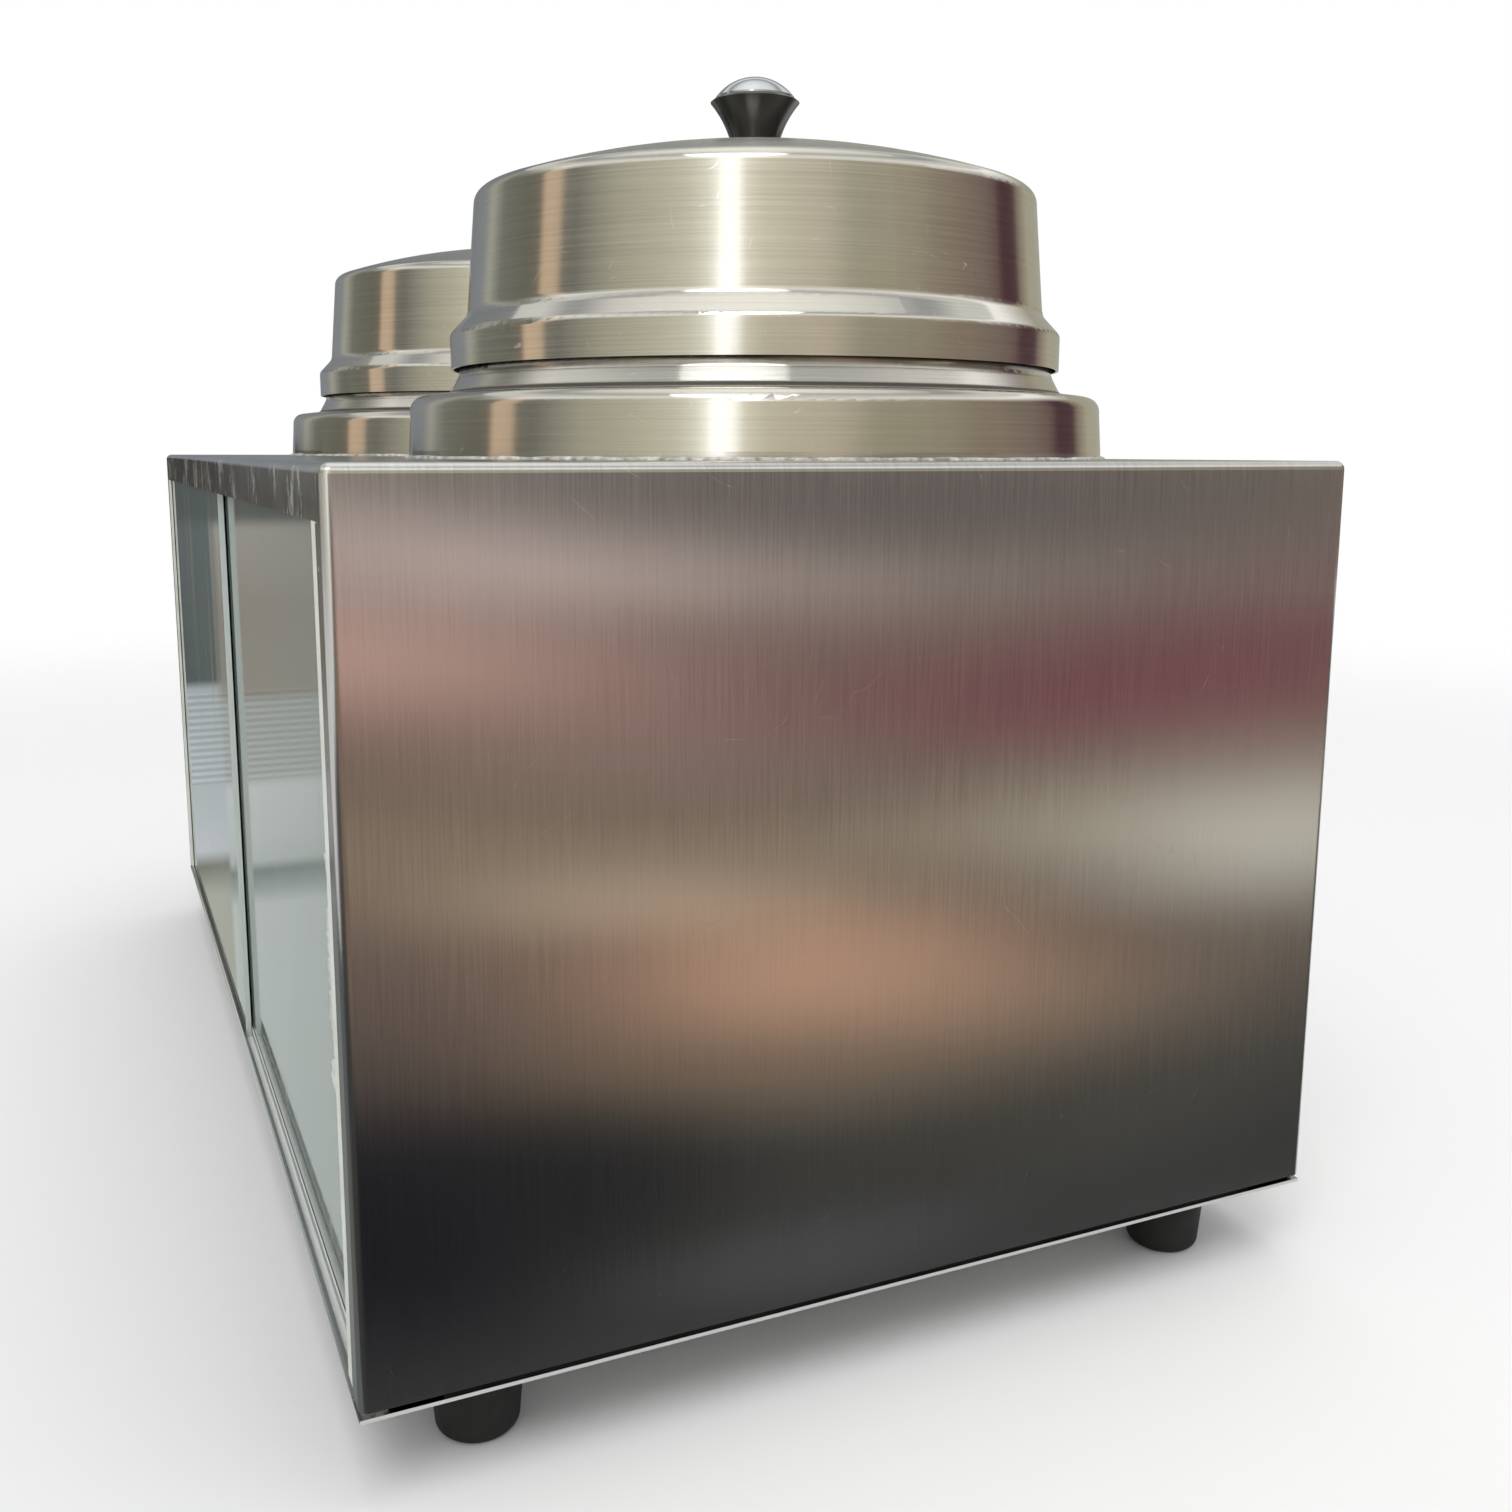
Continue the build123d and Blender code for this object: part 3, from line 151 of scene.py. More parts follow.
# 1 for rays that show the background itself: straight, mirrored or seen through
def seenRays(tree):
    path = addNode(tree, "LightPath")
    first = addNode(tree, "Math MAXIMUM", {0: path.outputs["Is Camera Ray"], 1: path.outputs["Is Glossy Ray"]})
    return addNode(tree, "Math MAXIMUM", {0: first, 1: path.outputs["Is Transmission Ray"]})


def makeWorld(s):
    world = bpy.data.worlds.new("surround")
    scene.world = world
    world.use_nodes = True
    tree = world.node_tree
    tree.nodes.clear()
    lighting = addNode(tree, "Background", {"Color": "#ffffff", "Strength": s["surround"]})
    shown = addNode(tree, "Background", {"Color": "#ffffff", "Strength": 1.0})
    addNode(tree, "OutputWorld", {0: addNode(tree, "MixShader", {0: seenRays(tree), 1: lighting, 2: shown})})


def makeFloor(s):
    mesh = bpy.data.meshes.new("floor")
    shape = bmesh.new()
    bmesh.ops.create_circle(shape, cap_ends=True, segments=s["floorSides"], radius=s["floorRadius"])
    shape.to_mesh(mesh)
    shape.free()
    floor = addToScene(mesh)
    material, tree = newTree("paintedFloor")
    place = addNode(tree, "NewGeometry")
    distance = addNode(tree, "VectorMath LENGTH", {0: place})
    fade = addNode(tree, "MapRange SMOOTHSTEP", {"From Min": s["fadeFrom"], "From Max": s["fadeTo"],
                                                 "Value": distance.outputs["Value"]})
    share = addNode(tree, "Math MULTIPLY", {0: fade, 1: seenRays(tree)})
    matt = addNode(tree, "BsdfDiffuse", {"Color": [s["floorAlbedo"]] * 3 + [1]})
    white = addNode(tree, "Emission")
    addNode(tree, "OutputMaterial", {0: addNode(tree, "MixShader", {0: share, 1: matt, 2: white})})
    mesh.materials.append(material)


def makeLamp(name, place, size, power, aim):
    data = bpy.data.lights.new(name, "AREA")
    data.shape, data.size, data.energy = "DISK", size, power
    lamp = addToScene(data)
    lamp.location = place
    lamp.rotation_euler = (Vector(aim) - Vector(place)).to_track_quat("-Z", "Y").to_euler()


# A glowing sheet hung in the studio that only mirrored rays meet
def makeCard(name, columns, material, tone, strength):
    tree = material.node_tree
    addNode(tree, "OutputMaterial", {0: addNode(tree, "Emission", {"Color": tone, "Strength": strength})})
    mesh = bpy.data.meshes.new(name)
    points = [p for column in columns for p in column]
    tall = len(columns[0])
    faces = [(i * tall + j, (i + 1) * tall + j, (i + 1) * tall + j + 1, i * tall + j + 1)
             for i in range(len(columns) - 1) for j in range(tall - 1)]
    mesh.from_pydata(points, [], faces)
    mesh.materials.append(material)
    card = addToScene(mesh)
    for kind in ("camera", "diffuse", "transmission", "volume_scatter", "shadow"):
        setattr(card, "visible_" + kind, False)


# Tones of the room that the end panel mirrors, as soft patches over a plain ramp.
# eye is the mirrored viewpoint, so across and down are places on the panel itself
endCard = {
    "eye": (-0.0575, -0.1823, 0.2231), "depth": 0.2885, "edge": (-0.139, 0.221), "size": (0.26, 0.198),
    "bow": 0.32, "bowAt": 0.45, "lift": 0.05, "gain": 1.95, "core": 0.25, "rim": 1.25,
    "run": [(0.245, 0.004), (1.45, 0.004), (1.5, 0.02), (1.5, 0.232)], "ends": (-0.9, 1.9),
    "tones": [(0.0, "#4d484a"), (0.03, "#4b4646"), (0.055, "#4e4a48"), (0.075, "#77736e"), (0.1, "#6f6860"),
              (0.14, "#635952"), (0.19, "#5d4843"), (0.25, "#533a37"), (0.31, "#50443c"), (0.345, "#584b43"),
              (0.37, "#807262"), (0.42, "#7a6c5d"), (0.46, "#5d5147"), (0.56, "#65564b"), (0.65, "#786757"),
              (0.7, "#5f574d"), (0.75, "#3e3d3a"), (0.82, "#393936"), (0.93, "#363636"), (1.0, "#333333")],
    "patches": [  # colour, across, down, half width, half height, strength
        ("#cdbcb5", 0.06, 0.085, 0.34, 0.05, 0.95), ("#dcb3a8", 0.0, 0.21, 0.22, 0.07, 0.95),
        ("#8f7a70", 0.2, 0.27, 0.26, 0.09, 0.75), ("#6b0d40", 0.9, 0.258, 0.45, 0.08, 1.0),
        ("#a3605f", 0.99, 0.36, 0.28, 0.018, 0.6), ("#b2a18c", 0.24, 0.44, 0.17, 0.05, 0.95),
        ("#fffff4", 1.0, 0.53, 0.27, 0.062, 1.0), ("#c2c1ad", 0.8, 0.438, 0.17, 0.032, 0.95),
        ("#918f85", 1.0, 0.627, 0.2, 0.06, 0.8), ("#bd967e", 0.4, 0.53, 0.19, 0.1, 1.0),
        ("#947b68", 0.6, 0.61, 0.16, 0.05, 0.8), ("#5b5751", 0.86, 0.65, 0.22, 0.1, 0.7),
        ("#4a4547", 0.0, 0.6, 0.15, 0.16, 0.8), ("#191a1f", 0.0, 0.8, 0.26, 0.22, 1.0),
        ("#212123", 0.19, 0.752, 0.18, 0.13, 0.9),
        ("#49494c", 0.42, 0.89, 0.2, 0.06, 0.7), ("#464642", 0.88, 0.83, 0.32, 0.08, 0.7),
    ],
}


def makeEndCard(c):
    material, tree = newTree("endCardTones")
    place = addNode(tree, "NewGeometry")
    ray = addNode(tree, "VectorMath SUBTRACT", {0: place, 1: c["eye"]})
    reach = addNode(tree, "SeparateXYZ", {0: ray})
    share = addNode(tree, "Math DIVIDE", {0: c["depth"], 1: reach})
    spot = addNode(tree, "VectorMath SCALE", {0: ray, "Scale": share})
    part = addNode(tree, "SeparateXYZ", {0: spot})
    wide, high = c["size"]
    startAcross, startDown = (c["edge"][0] - c["eye"][1]) / wide, (c["edge"][1] - c["eye"][2]) / high
    across = addNode(tree, "Math MULTIPLY_ADD", {0: part.outputs[1], 1: 1 / wide, 2: -startAcross})
    down = addNode(tree, "Math MULTIPLY_ADD", {0: part.outputs[2], 1: -1 / high, 2: startDown})
    middle = addNode(tree, "Math SUBTRACT", {0: across, 1: c["bowAt"]})
    square = addNode(tree, "Math POWER", {0: middle, 1: 2.0})
    bowed = addNode(tree, "Math MULTIPLY_ADD", {0: square, 1: c["bow"], 2: down})
    level = addNode(tree, "Math SUBTRACT", {0: bowed, 1: c["lift"]})
    tone = addNode(tree, "ValToRGB", {"stops": c["tones"], 0: level})
    for colour, u, v, halfU, halfV, strength in c["patches"]:
        offset = addNode(tree, "Math MULTIPLY_ADD", {0: across, 1: 1 / halfU, 2: -u / halfU})
        drop = addNode(tree, "Math MULTIPLY_ADD", {0: level, 1: 1 / halfV, 2: -v / halfV})
        pair = addNode(tree, "CombineXYZ", {0: offset, 1: drop})
        spread = addNode(tree, "VectorMath LENGTH", {0: pair}).outputs["Value"]
        soft = addNode(tree, "MapRange SMOOTHSTEP", {"From Min": c["rim"], "From Max": c["core"],
                                                     "To Max": strength, "Value": spread})
        tone = addNode(tree, "Mix RGBA", {0: soft, 6: tone, 7: colour}).outputs[2]
    makeCard("endCard", [[(x, y, z) for x, z in c["run"]] for y in c["ends"]], material, tone, c["gain"])


# Ring of room tones that the lids and collars mirror, by compass angle in degrees
roomRing = {
    "radius": 2.4, "low": 0.01, "high": 2.1, "gain": 1.5, "whiteGain": 2.1, "whiteFrom": 0.75, "steps": 72,
    "fadeLow": 1.2, "fadeHigh": 1.9, "fadeLoss": 0.4, "dullBehind": (-1.92, -0.72),
    "tones": [(-180, "#6d7175"), (-158, "#83858a"), (-150, "#a2a39a"), (-139, "#747670"), (-120, "#6a6a60"),
              (-113, "#726c62"), (-111, "#cdb59c"), (-103, "#c1ad97"), (-100, "#75726a"), (-94, "#6f6f68"),
              (-85, "#8c8b80"), (-76, "#a3a192"), (-57, "#bbb9a7"), (-46, "#cdccbc"), (-38, "#ecece2"),
              (-35, "#ffffff"), (-30, "#ffffff"), (-26, "#e2dfd0"), (-20, "#cdc8b5"), (2, "#b9b2a1"),
              (12, "#a09d8a"), (35, "#9a9381"), (47, "#8c8173"), (71, "#786b65"), (79, "#6c5a57"),
              (84, "#4b3339"), (94, "#4e383e"), (99, "#857a6e"), (108, "#a19c8c"), (140, "#8c8d84"),
              (180, "#6d7175")],
}


def makeRoomRing(c):
    material, tree = newTree("ringTones")
    part = addNode(tree, "SeparateXYZ", {0: addNode(tree, "NewGeometry")})
    angle = addNode(tree, "Math ARCTAN2", {0: part.outputs[1], 1: part})
    turn = addNode(tree, "Math MULTIPLY_ADD", {0: angle, 1: 0.5 / math.pi, 2: 0.5})
    stops = [((degrees + 180) / 360, colour) for degrees, colour in c["tones"]]
    tone = addNode(tree, "ValToRGB", {"stops": stops, 0: turn})
    up = addNode(tree, "MapRange", {"From Min": c["fadeLow"], "From Max": c["fadeHigh"], "Value": part.outputs[2]})
    shade = addNode(tree, "RGBToBW", {0: tone})
    level = addNode(tree, "Math MULTIPLY_ADD", {0: up, 1: -c["fadeLoss"], 2: shade})
    gain = addNode(tree, "MapRange", {"From Min": c["whiteFrom"], "To Min": c["gain"], "To Max": c["whiteGain"],
                                      "Value": level})
    # Behind the warmer the ring stays dull to its top, and the lids' domes mirror it
    low, high = c["dullBehind"]
    ahead = addNode(tree, "MapRange", {"From Min": low, "From Max": high, "Value": part})
    fade = addNode(tree, "Math MULTIPLY", {0: up, 1: ahead})
    paled = addNode(tree, "Mix RGBA", {0: fade, 6: tone, 7: "#ffffff"})
    turns = [2 * math.pi * i / c["steps"] for i in range(c["steps"] + 1)]
    columns = [[(c["radius"] * math.cos(t), c["radius"] * math.sin(t), z) for z in (c["low"], c["high"])]
               for t in turns]
    makeCard("roomRing", columns, material, paled.outputs[2], gain)


# Bright ceiling, for the turned-up shoulders, flares and bends, with a dull belt that the knob caps show
skyCard = {
    "half": 2.4, "height": 2.15, "gain": 1.6,
    "tones": [(0.0, "#fbfbf8"), (0.12, "#f4f4f0"), (0.4, "#d4d5d2"), (0.54, "#9b9da0"), (0.6, "#9a9c9f"),
              (0.76, "#cccdca"), (1.0, "#c6c8c6")],
}


def makeSkyCard(c):
    material, tree = newTree("skyTone")
    place = addNode(tree, "NewGeometry")
    flat = addNode(tree, "VectorMath MULTIPLY", {0: place, 1: (1, 1, 0)})
    reach = addNode(tree, "VectorMath LENGTH", {0: flat}).outputs["Value"]
    level = addNode(tree, "Math DIVIDE", {0: reach, 1: c["half"]})
    tone = addNode(tree, "ValToRGB", {"stops": c["tones"], 0: level})
    ends = (-c["half"], c["half"])
    makeCard("skyCard", [[(x, y, c["height"]) for x in ends] for y in ends], material, tone, c["gain"])


# Tones that the sign side mirrors, by the dip of the mirrored ray and by how far it swings out from the panes.
# Below split is the far pane, whose tones differ, and above flange the folded steel edge, where they are dimmed
signCard = {
    "eye": (0.5195, -0.0935, 0.2231), "run": [(0.3, 0.003), (-0.43, 0.003), (-0.45, 0.02), (-0.45, 0.235)],
    "ends": (-0.5, -0.1392), "split": 0.0825, "flange": 0.148, "flangeGain": 0.3, "dipRange": 0.5,
    "nearTones": [(0.0, "#453f3b"), (0.042, "#4a4440"), (0.05, "#a49d93"), (0.1, "#92867c"), (0.158, "#958b80"),
                  (0.163, "#aaaba8"), (0.212, "#b3b6b4"), (0.22, "#d4d8d6"), (0.25, "#cdd2d0"), (0.27, "#c3c9c6"),
                  (0.277, "#7d8584"), (0.29, "#a7afad"), (0.3, "#cdd3d1"), (0.4, "#c9d0cd"), (0.5, "#c6cdca")],
    "farTones": [(0.0, "#3c4142"), (0.04, "#383d3e"), (0.05, "#4d5355"), (0.147, "#3f4547"), (0.152, "#b0b6b9"),
                 (0.222, "#bfc6ca"), (0.26, "#cdd2d7"), (0.27, "#7c7b70"), (0.29, "#b6b8a9"), (0.5, "#b9bbab")],
    "ribs": (0.155, 0.215), "ribPitch": 0.0044, "ribDepth": 0.2,
}


def makeSignCard(c):
    material, tree = newTree("signCardTones")
    place = addNode(tree, "NewGeometry")
    part = addNode(tree, "SeparateXYZ", {0: addNode(tree, "VectorMath SUBTRACT", {0: c["eye"], 1: place})})
    dip = addNode(tree, "Math DIVIDE", {0: part.outputs[2], 1: part})
    swing = addNode(tree, "Math DIVIDE", {0: part.outputs[1], 1: part})
    level = addNode(tree, "Math DIVIDE", {0: dip, 1: c["dipRange"]})
    far, near = [addNode(tree, "ValToRGB", {"stops": [(at / c["dipRange"], colour) for at, colour in c[key]],
                                            0: level}) for key in ("farTones", "nearTones")]
    isNear = addNode(tree, "Math GREATER_THAN", {0: swing, 1: c["split"]})
    tone = addNode(tree, "Mix RGBA", {0: isNear, 6: far, 7: near})
    wave = addNode(tree, "Math MULTIPLY", {0: dip, 1: 2 * math.pi / c["ribPitch"]})
    sine = addNode(tree, "Math SINE", {0: wave})
    low, high = c["ribs"]
    middle = addNode(tree, "Math SUBTRACT", {0: dip, 1: (low + high) / 2})
    away = addNode(tree, "Math ABSOLUTE", {0: middle})
    inside = addNode(tree, "Math LESS_THAN", {0: away, 1: (high - low) / 2})
    ribbed = addNode(tree, "Math MULTIPLY", {0: sine, 1: inside})
    waved = addNode(tree, "Math MULTIPLY_ADD", {0: ribbed, 1: c["ribDepth"], 2: 1.0})
    onFlange = addNode(tree, "Math GREATER_THAN", {0: swing, 1: c["flange"]})
    dimmed = addNode(tree, "MapRange", {"To Min": 1.0, "To Max": c["flangeGain"], "Value": onFlange})
    strength = addNode(tree, "Math MULTIPLY", {0: waved, 1: dimmed})
    columns = [[(x, y, z) for x, z in c["run"]] for y in c["ends"]]
    makeCard("signCard", columns, material, tone.outputs[2], strength)


makeWorld(studio)
makeSkyCard(skyCard)
makeSignCard(signCard)
makeFloor(studio)
for name, (place, size, power) in studio["lamps"].items():
    makeLamp(name, place, size, power, studio["aim"])
makeEndCard(endCard)
makeRoomRing(roomRing)
print("studio made")


noiseSpan = {"From Min": 0.3, "From Max": 0.7}  # where most of a noise pattern's values lie
quarterTurn = 0.25  # turns the sheen from along the tangent to across it


# Streaks of a brushed or wiped surface: noise in object space, stretched along the grain
def brushedStreaks(tree, scale, detail):
    place = addNode(tree, "TexCoord").outputs["Object"]
    stretch = addNode(tree, "VectorMath MULTIPLY", {0: place, 1: scale})
    return addNode(tree, "TexNoise", {"Scale": 1.0, "Detail": detail, "Roughness": 0.6, 0: stretch})


# Hairline scratches: thin contour lines of a slow noise, kept only in patches, pale and rougher than the metal
scratches = {"colour": "#e9e8e4", "roughness": 0.2, "wander": 0.6, "patchFrom": 0.55, "patchTo": 0.62}


def hairlines(tree, look):
    place = addNode(tree, "TexCoord").outputs["Object"]
    size, width, strength = look["hairs"]
    wander = addNode(tree, "TexNoise", {"Scale": 1000 / size, "Detail": 1.0,
                                        "Distortion": scratches["wander"], 0: place})
    middle = addNode(tree, "Math SUBTRACT", {0: wander, 1: 0.5})
    away = addNode(tree, "Math ABSOLUTE", {0: middle})
    line = addNode(tree, "MapRange", {"From Min": width, "From Max": 0.0, "Value": away})
    worn = addNode(tree, "TexNoise", {"Scale": 3000 / size, "Detail": 2.0, 0: place})
    kept = addNode(tree, "MapRange", {"From Min": scratches["patchFrom"], "From Max": scratches["patchTo"],
                                      "Value": worn})
    faint = addNode(tree, "Math MULTIPLY", {0: kept, 1: strength})
    return addNode(tree, "Math MULTIPLY", {0: line, 1: faint})


# What all grained metals share: mottled colour, shaded grain with a fine bump, pale rougher scratches, and a sheen
# drawn out across the grain
def finishMetal(name, look, tangentAxis, makeGrain):
    material, tree, shader = startMaterial(name, {"Metallic": 1.0, "Anisotropic": look["anisotropy"],
                                                  "Anisotropic Rotation": quarterTurn})
    grain, cloud = makeGrain(tree)
    colour = addNode(tree, "Mix RGBA", {0: cloud, 6: look["colour"], 7: look["dullColour"]})
    low, high = look["lineShade"]
    lines = addNode(tree, "MapRange", {**noiseSpan, "To Min": low, "To Max": high, "Value": grain})
    shaded = addNode(tree, "VectorMath SCALE", {0: colour.outputs[2], "Scale": lines})
    scratch = hairlines(tree, look)
    pale = addNode(tree, "Mix RGBA", {0: scratch, 6: shaded, 7: scratches["colour"]})
    low, high = look["roughness"]
    rough = addNode(tree, "MapRange", {**noiseSpan, "To Min": low, "To Max": high, "Value": grain})
    scuffed = addNode(tree, "Math MULTIPLY_ADD", {0: scratch, 1: scratches["roughness"], 2: rough})
    bump = addNode(tree, "Bump", {"Strength": look["bump"], "Distance": look["grainDepth"] * millimetre,
                                  "Height": grain})
    tangent = addNode(tree, "Tangent", {"direction_type": "RADIAL", "axis": tangentAxis})
    setNode(shader, {"Base Color": pale.outputs[2], "Roughness": scuffed, "Normal": bump, "Tangent": tangent})
    return material


# Stainless sheet, 304 with a number 4 brushed finish: long fine lines and a soft sheen drawn out across them
brushedStainless = {
    "colour": "#c9c9c8", "dullColour": "#bfbdba", "roughness": (0.19, 0.215), "anisotropy": 0.96,
    "grainPitch": 0.48,  # mm; real lines are about 0.15 mm apart, drawn coarser so that they show
    "grainLength": 26.0, "grainDepth": 0.004, "bump": 0.25, "lineShade": (0.93, 1.05),
    "mottles": 18.0, "hairs": (44.0, 0.0012, 0.4),  # count per metre; size in mm, width and strength
}


def makeBrushedMetal(name, look, grainAxes, tangentAxis):
    def straightGrain(tree):
        across, along = 1 / (look["grainPitch"] * millimetre), 1 / (look["grainLength"] * millimetre)
        scale = [along if axis in grainAxes else across for axis in "XYZ"]
        return brushedStreaks(tree, scale, 2.0), brushedStreaks(tree, [look["mottles"]] * 3, 4.0)

    return finishMetal(name, look, tangentAxis, straightGrain)


# Lays a second colour and roughness over a metal where share is 1: grime, and also painted shade and painted
# highlight
def overlay(material, share, colour, roughness):
    tree = material.node_tree
    shader = tree.nodes["Principled BSDF"]
    under = {name: shader.inputs[name].links[0].from_socket for name in ("Base Color", "Roughness")}
    coloured = addNode(tree, "Mix RGBA", {0: share, 6: under["Base Color"], 7: colour})
    roughened = addNode(tree, "Mix", {0: share, 2: under["Roughness"], 3: roughness})
    bare = addNode(tree, "Math SUBTRACT", {0: 1.0, 1: share})
    setNode(shader, {"Base Color": coloured.outputs[2], "Roughness": roughened, "Metallic": bare})


# Grime on the sign side's top band: pale dried runs in patches, and a dull film. Patch and run sizes are in mm
bandGrime = {
    "front": -0.1385, "low": 0.2, "patchSize": 22.0, "run": (2.6, 8.0),
    "dirtFrom": 0.25, "dirtTo": 0.42, "most": 0.5,
    "colour": "#a29c92", "roughness": 0.6,
}


def addBandGrime(material, look):
    tree = material.node_tree
    place = addNode(tree, "TexCoord").outputs["Object"]
    part = addNode(tree, "SeparateXYZ", {0: place})
    inFront = addNode(tree, "Math LESS_THAN", {0: part.outputs[1], 1: look["front"]})
    onBand = addNode(tree, "Math GREATER_THAN", {0: part.outputs[2], 1: look["low"]})
    there = addNode(tree, "Math MULTIPLY", {0: inFront, 1: onBand})
    patches = addNode(tree, "TexNoise", {"Scale": 1000 / look["patchSize"], "Detail": 3.0, 0: place})
    wide, tall = look["run"]
    runs = brushedStreaks(tree, [1000 / wide, 1000 / wide, 1000 / tall], 4.0)
    both = addNode(tree, "Math MULTIPLY", {0: patches, 1: runs})
    dirt = addNode(tree, "MapRange", {"From Min": look["dirtFrom"], "From Max": look["dirtTo"],
                                      "To Max": look["most"], "Value": both})
    share = addNode(tree, "Math MULTIPLY", {0: there, 1: dirt})
    overlay(material, share, look["colour"], look["roughness"])


# 1 on faces that look along the axis, either way
def facesAlong(tree, axis, steepness=0.7):
    facing = addNode(tree, "SeparateXYZ", {0: addNode(tree, "NewGeometry").outputs["True Normal"]})
    either = addNode(tree, "Math ABSOLUTE", {0: facing.outputs[axis]})
    return addNode(tree, "Math GREATER_THAN", {0: either, 1: steepness})


# Pale faces that look along the axis, below top, less metallic and rougher: on the pan the sheared sheet ends and
# on the track the flat faces of the lips. On both the pale colour is a painted highlight, standing in for the light
# these narrow faces catch
def addRawEdges(material, axis, colour, top, roughness=0.55):
    tree = material.node_tree
    part = addNode(tree, "SeparateXYZ", {0: addNode(tree, "TexCoord").outputs["Object"]})
    low = addNode(tree, "Math LESS_THAN", {0: part.outputs[2], 1: top})
    share = addNode(tree, "Math MULTIPLY", {0: facesAlong(tree, axis), 1: low})
    overlay(material, share, colour, roughness)


wrapperSteel = makeBrushedMetal("brushedStainlessWrapper", brushedStainless, "XZ", "Y")
addBandGrime(wrapperSteel, bandGrime)
useMaterial(wrapperSteel, "body_wrapper")
panSteel = makeBrushedMetal("brushedStainlessPan", brushedStainless, "XY", "Y")
# Painted highlight: the pan's sheared ends are painted pale, as a lit line along the bottom
addRawEdges(panSteel, 0, "#c9cac8", 0.022)
useMaterial(panSteel, "base_pan", "rear_panel")

# Spun stainless: rings round the axis from the lathe and polishing belt. Pitches and depths are in mm
spunStainless = {
    "colour": "#cdcbc4", "dullColour": "#bebab0", "roughness": (0.12, 0.17), "anisotropy": 0.95,
    "grainPitch": 0.6, "grainDepth": 0.003, "bump": 0.2, "lineShade": (0.92, 1.04), "waviness": 14.0,
    "mottles": 26.0, "hairs": (15.0, 0.003, 0.6),
}


# Distance of each point from a vertical axis, as a vector and as a length
def fromAxis(tree, place, axisPlace):
    centred = addNode(tree, "VectorMath SUBTRACT", {0: place, 1: (*axisPlace, 0)})
    flat = addNode(tree, "VectorMath MULTIPLY", {0: centred, 1: (1, 1, 0)})
    return flat, addNode(tree, "VectorMath LENGTH", {0: flat}).outputs["Value"]


def makeSpunStainless(name, look, axisPlace):
    def ringGrain(tree):
        place = addNode(tree, "TexCoord").outputs["Object"]
        flat, radius = fromAxis(tree, place, axisPlace)
        height = addNode(tree, "SeparateXYZ", {0: place}).outputs[2]
        ring = addNode(tree, "Math SUBTRACT", {0: height, 1: radius})
        pitch = look["grainPitch"] * millimetre
        scaled = addNode(tree, "Math MULTIPLY", {0: ring, 1: 1 / pitch})
        slow = addNode(tree, "VectorMath SCALE", {0: flat, "Scale": look["waviness"]})
        parts = addNode(tree, "SeparateXYZ", {0: slow})
        vector = addNode(tree, "CombineXYZ", {0: parts, 1: parts.outputs[1], 2: scaled})
        return (addNode(tree, "TexNoise", {"Scale": 1.0, "Detail": 3.0, "Roughness": 0.65, 0: vector}),
                addNode(tree, "TexNoise", {"Scale": look["mottles"], "Detail": 5.0, "Roughness": 0.6, 0: place}))

    return finishMetal(name, look, "Z", ringGrain)


# A dark line painted in the corner where each collar's neck rises from its shoulder, a painted shade standing in
# for the shade in that crease, in mm
neckCornerShade = {"height": 238.9, "reach": 0.85, "full": 0.425, "inside": 86.5,
               "colour": "#4a443d", "roughness": 0.55}


def addCornerGrime(material, look, axisPlace):
    tree = material.node_tree
    place = addNode(tree, "TexCoord").outputs["Object"]
    radius = fromAxis(tree, place, axisPlace)[1]
    outside = addNode(tree, "Math GREATER_THAN", {0: radius, 1: look["inside"] * millimetre})
    part = addNode(tree, "SeparateXYZ", {0: place})
    rise = addNode(tree, "Math SUBTRACT", {0: part.outputs[2], 1: look["height"] * millimetre})
    away = addNode(tree, "Math ABSOLUTE", {0: rise})
    line = addNode(tree, "MapRange", {"From Min": look["reach"] * millimetre,
                                      "From Max": look["full"] * millimetre, "Value": away})
    share = addNode(tree, "Math MULTIPLY", {0: outside, 1: line})
    overlay(material, share, look["colour"], look["roughness"])


wellPlaces = {side: (0.1166 * sign, 0.0041) for side, sign in sides.items()}
for side, axisPlace in wellPlaces.items():
    spun = makeSpunStainless("spunStainless_" + side, spunStainless, axisPlace)
    # Painted shade: a dark line in the corner at the foot of each collar's neck
    addCornerGrime(spun, neckCornerShade, axisPlace)
    useMaterial(spun, "well_collar_" + side, "lid_" + side, "well_vessel_" + side, "inset_jar_" + side)

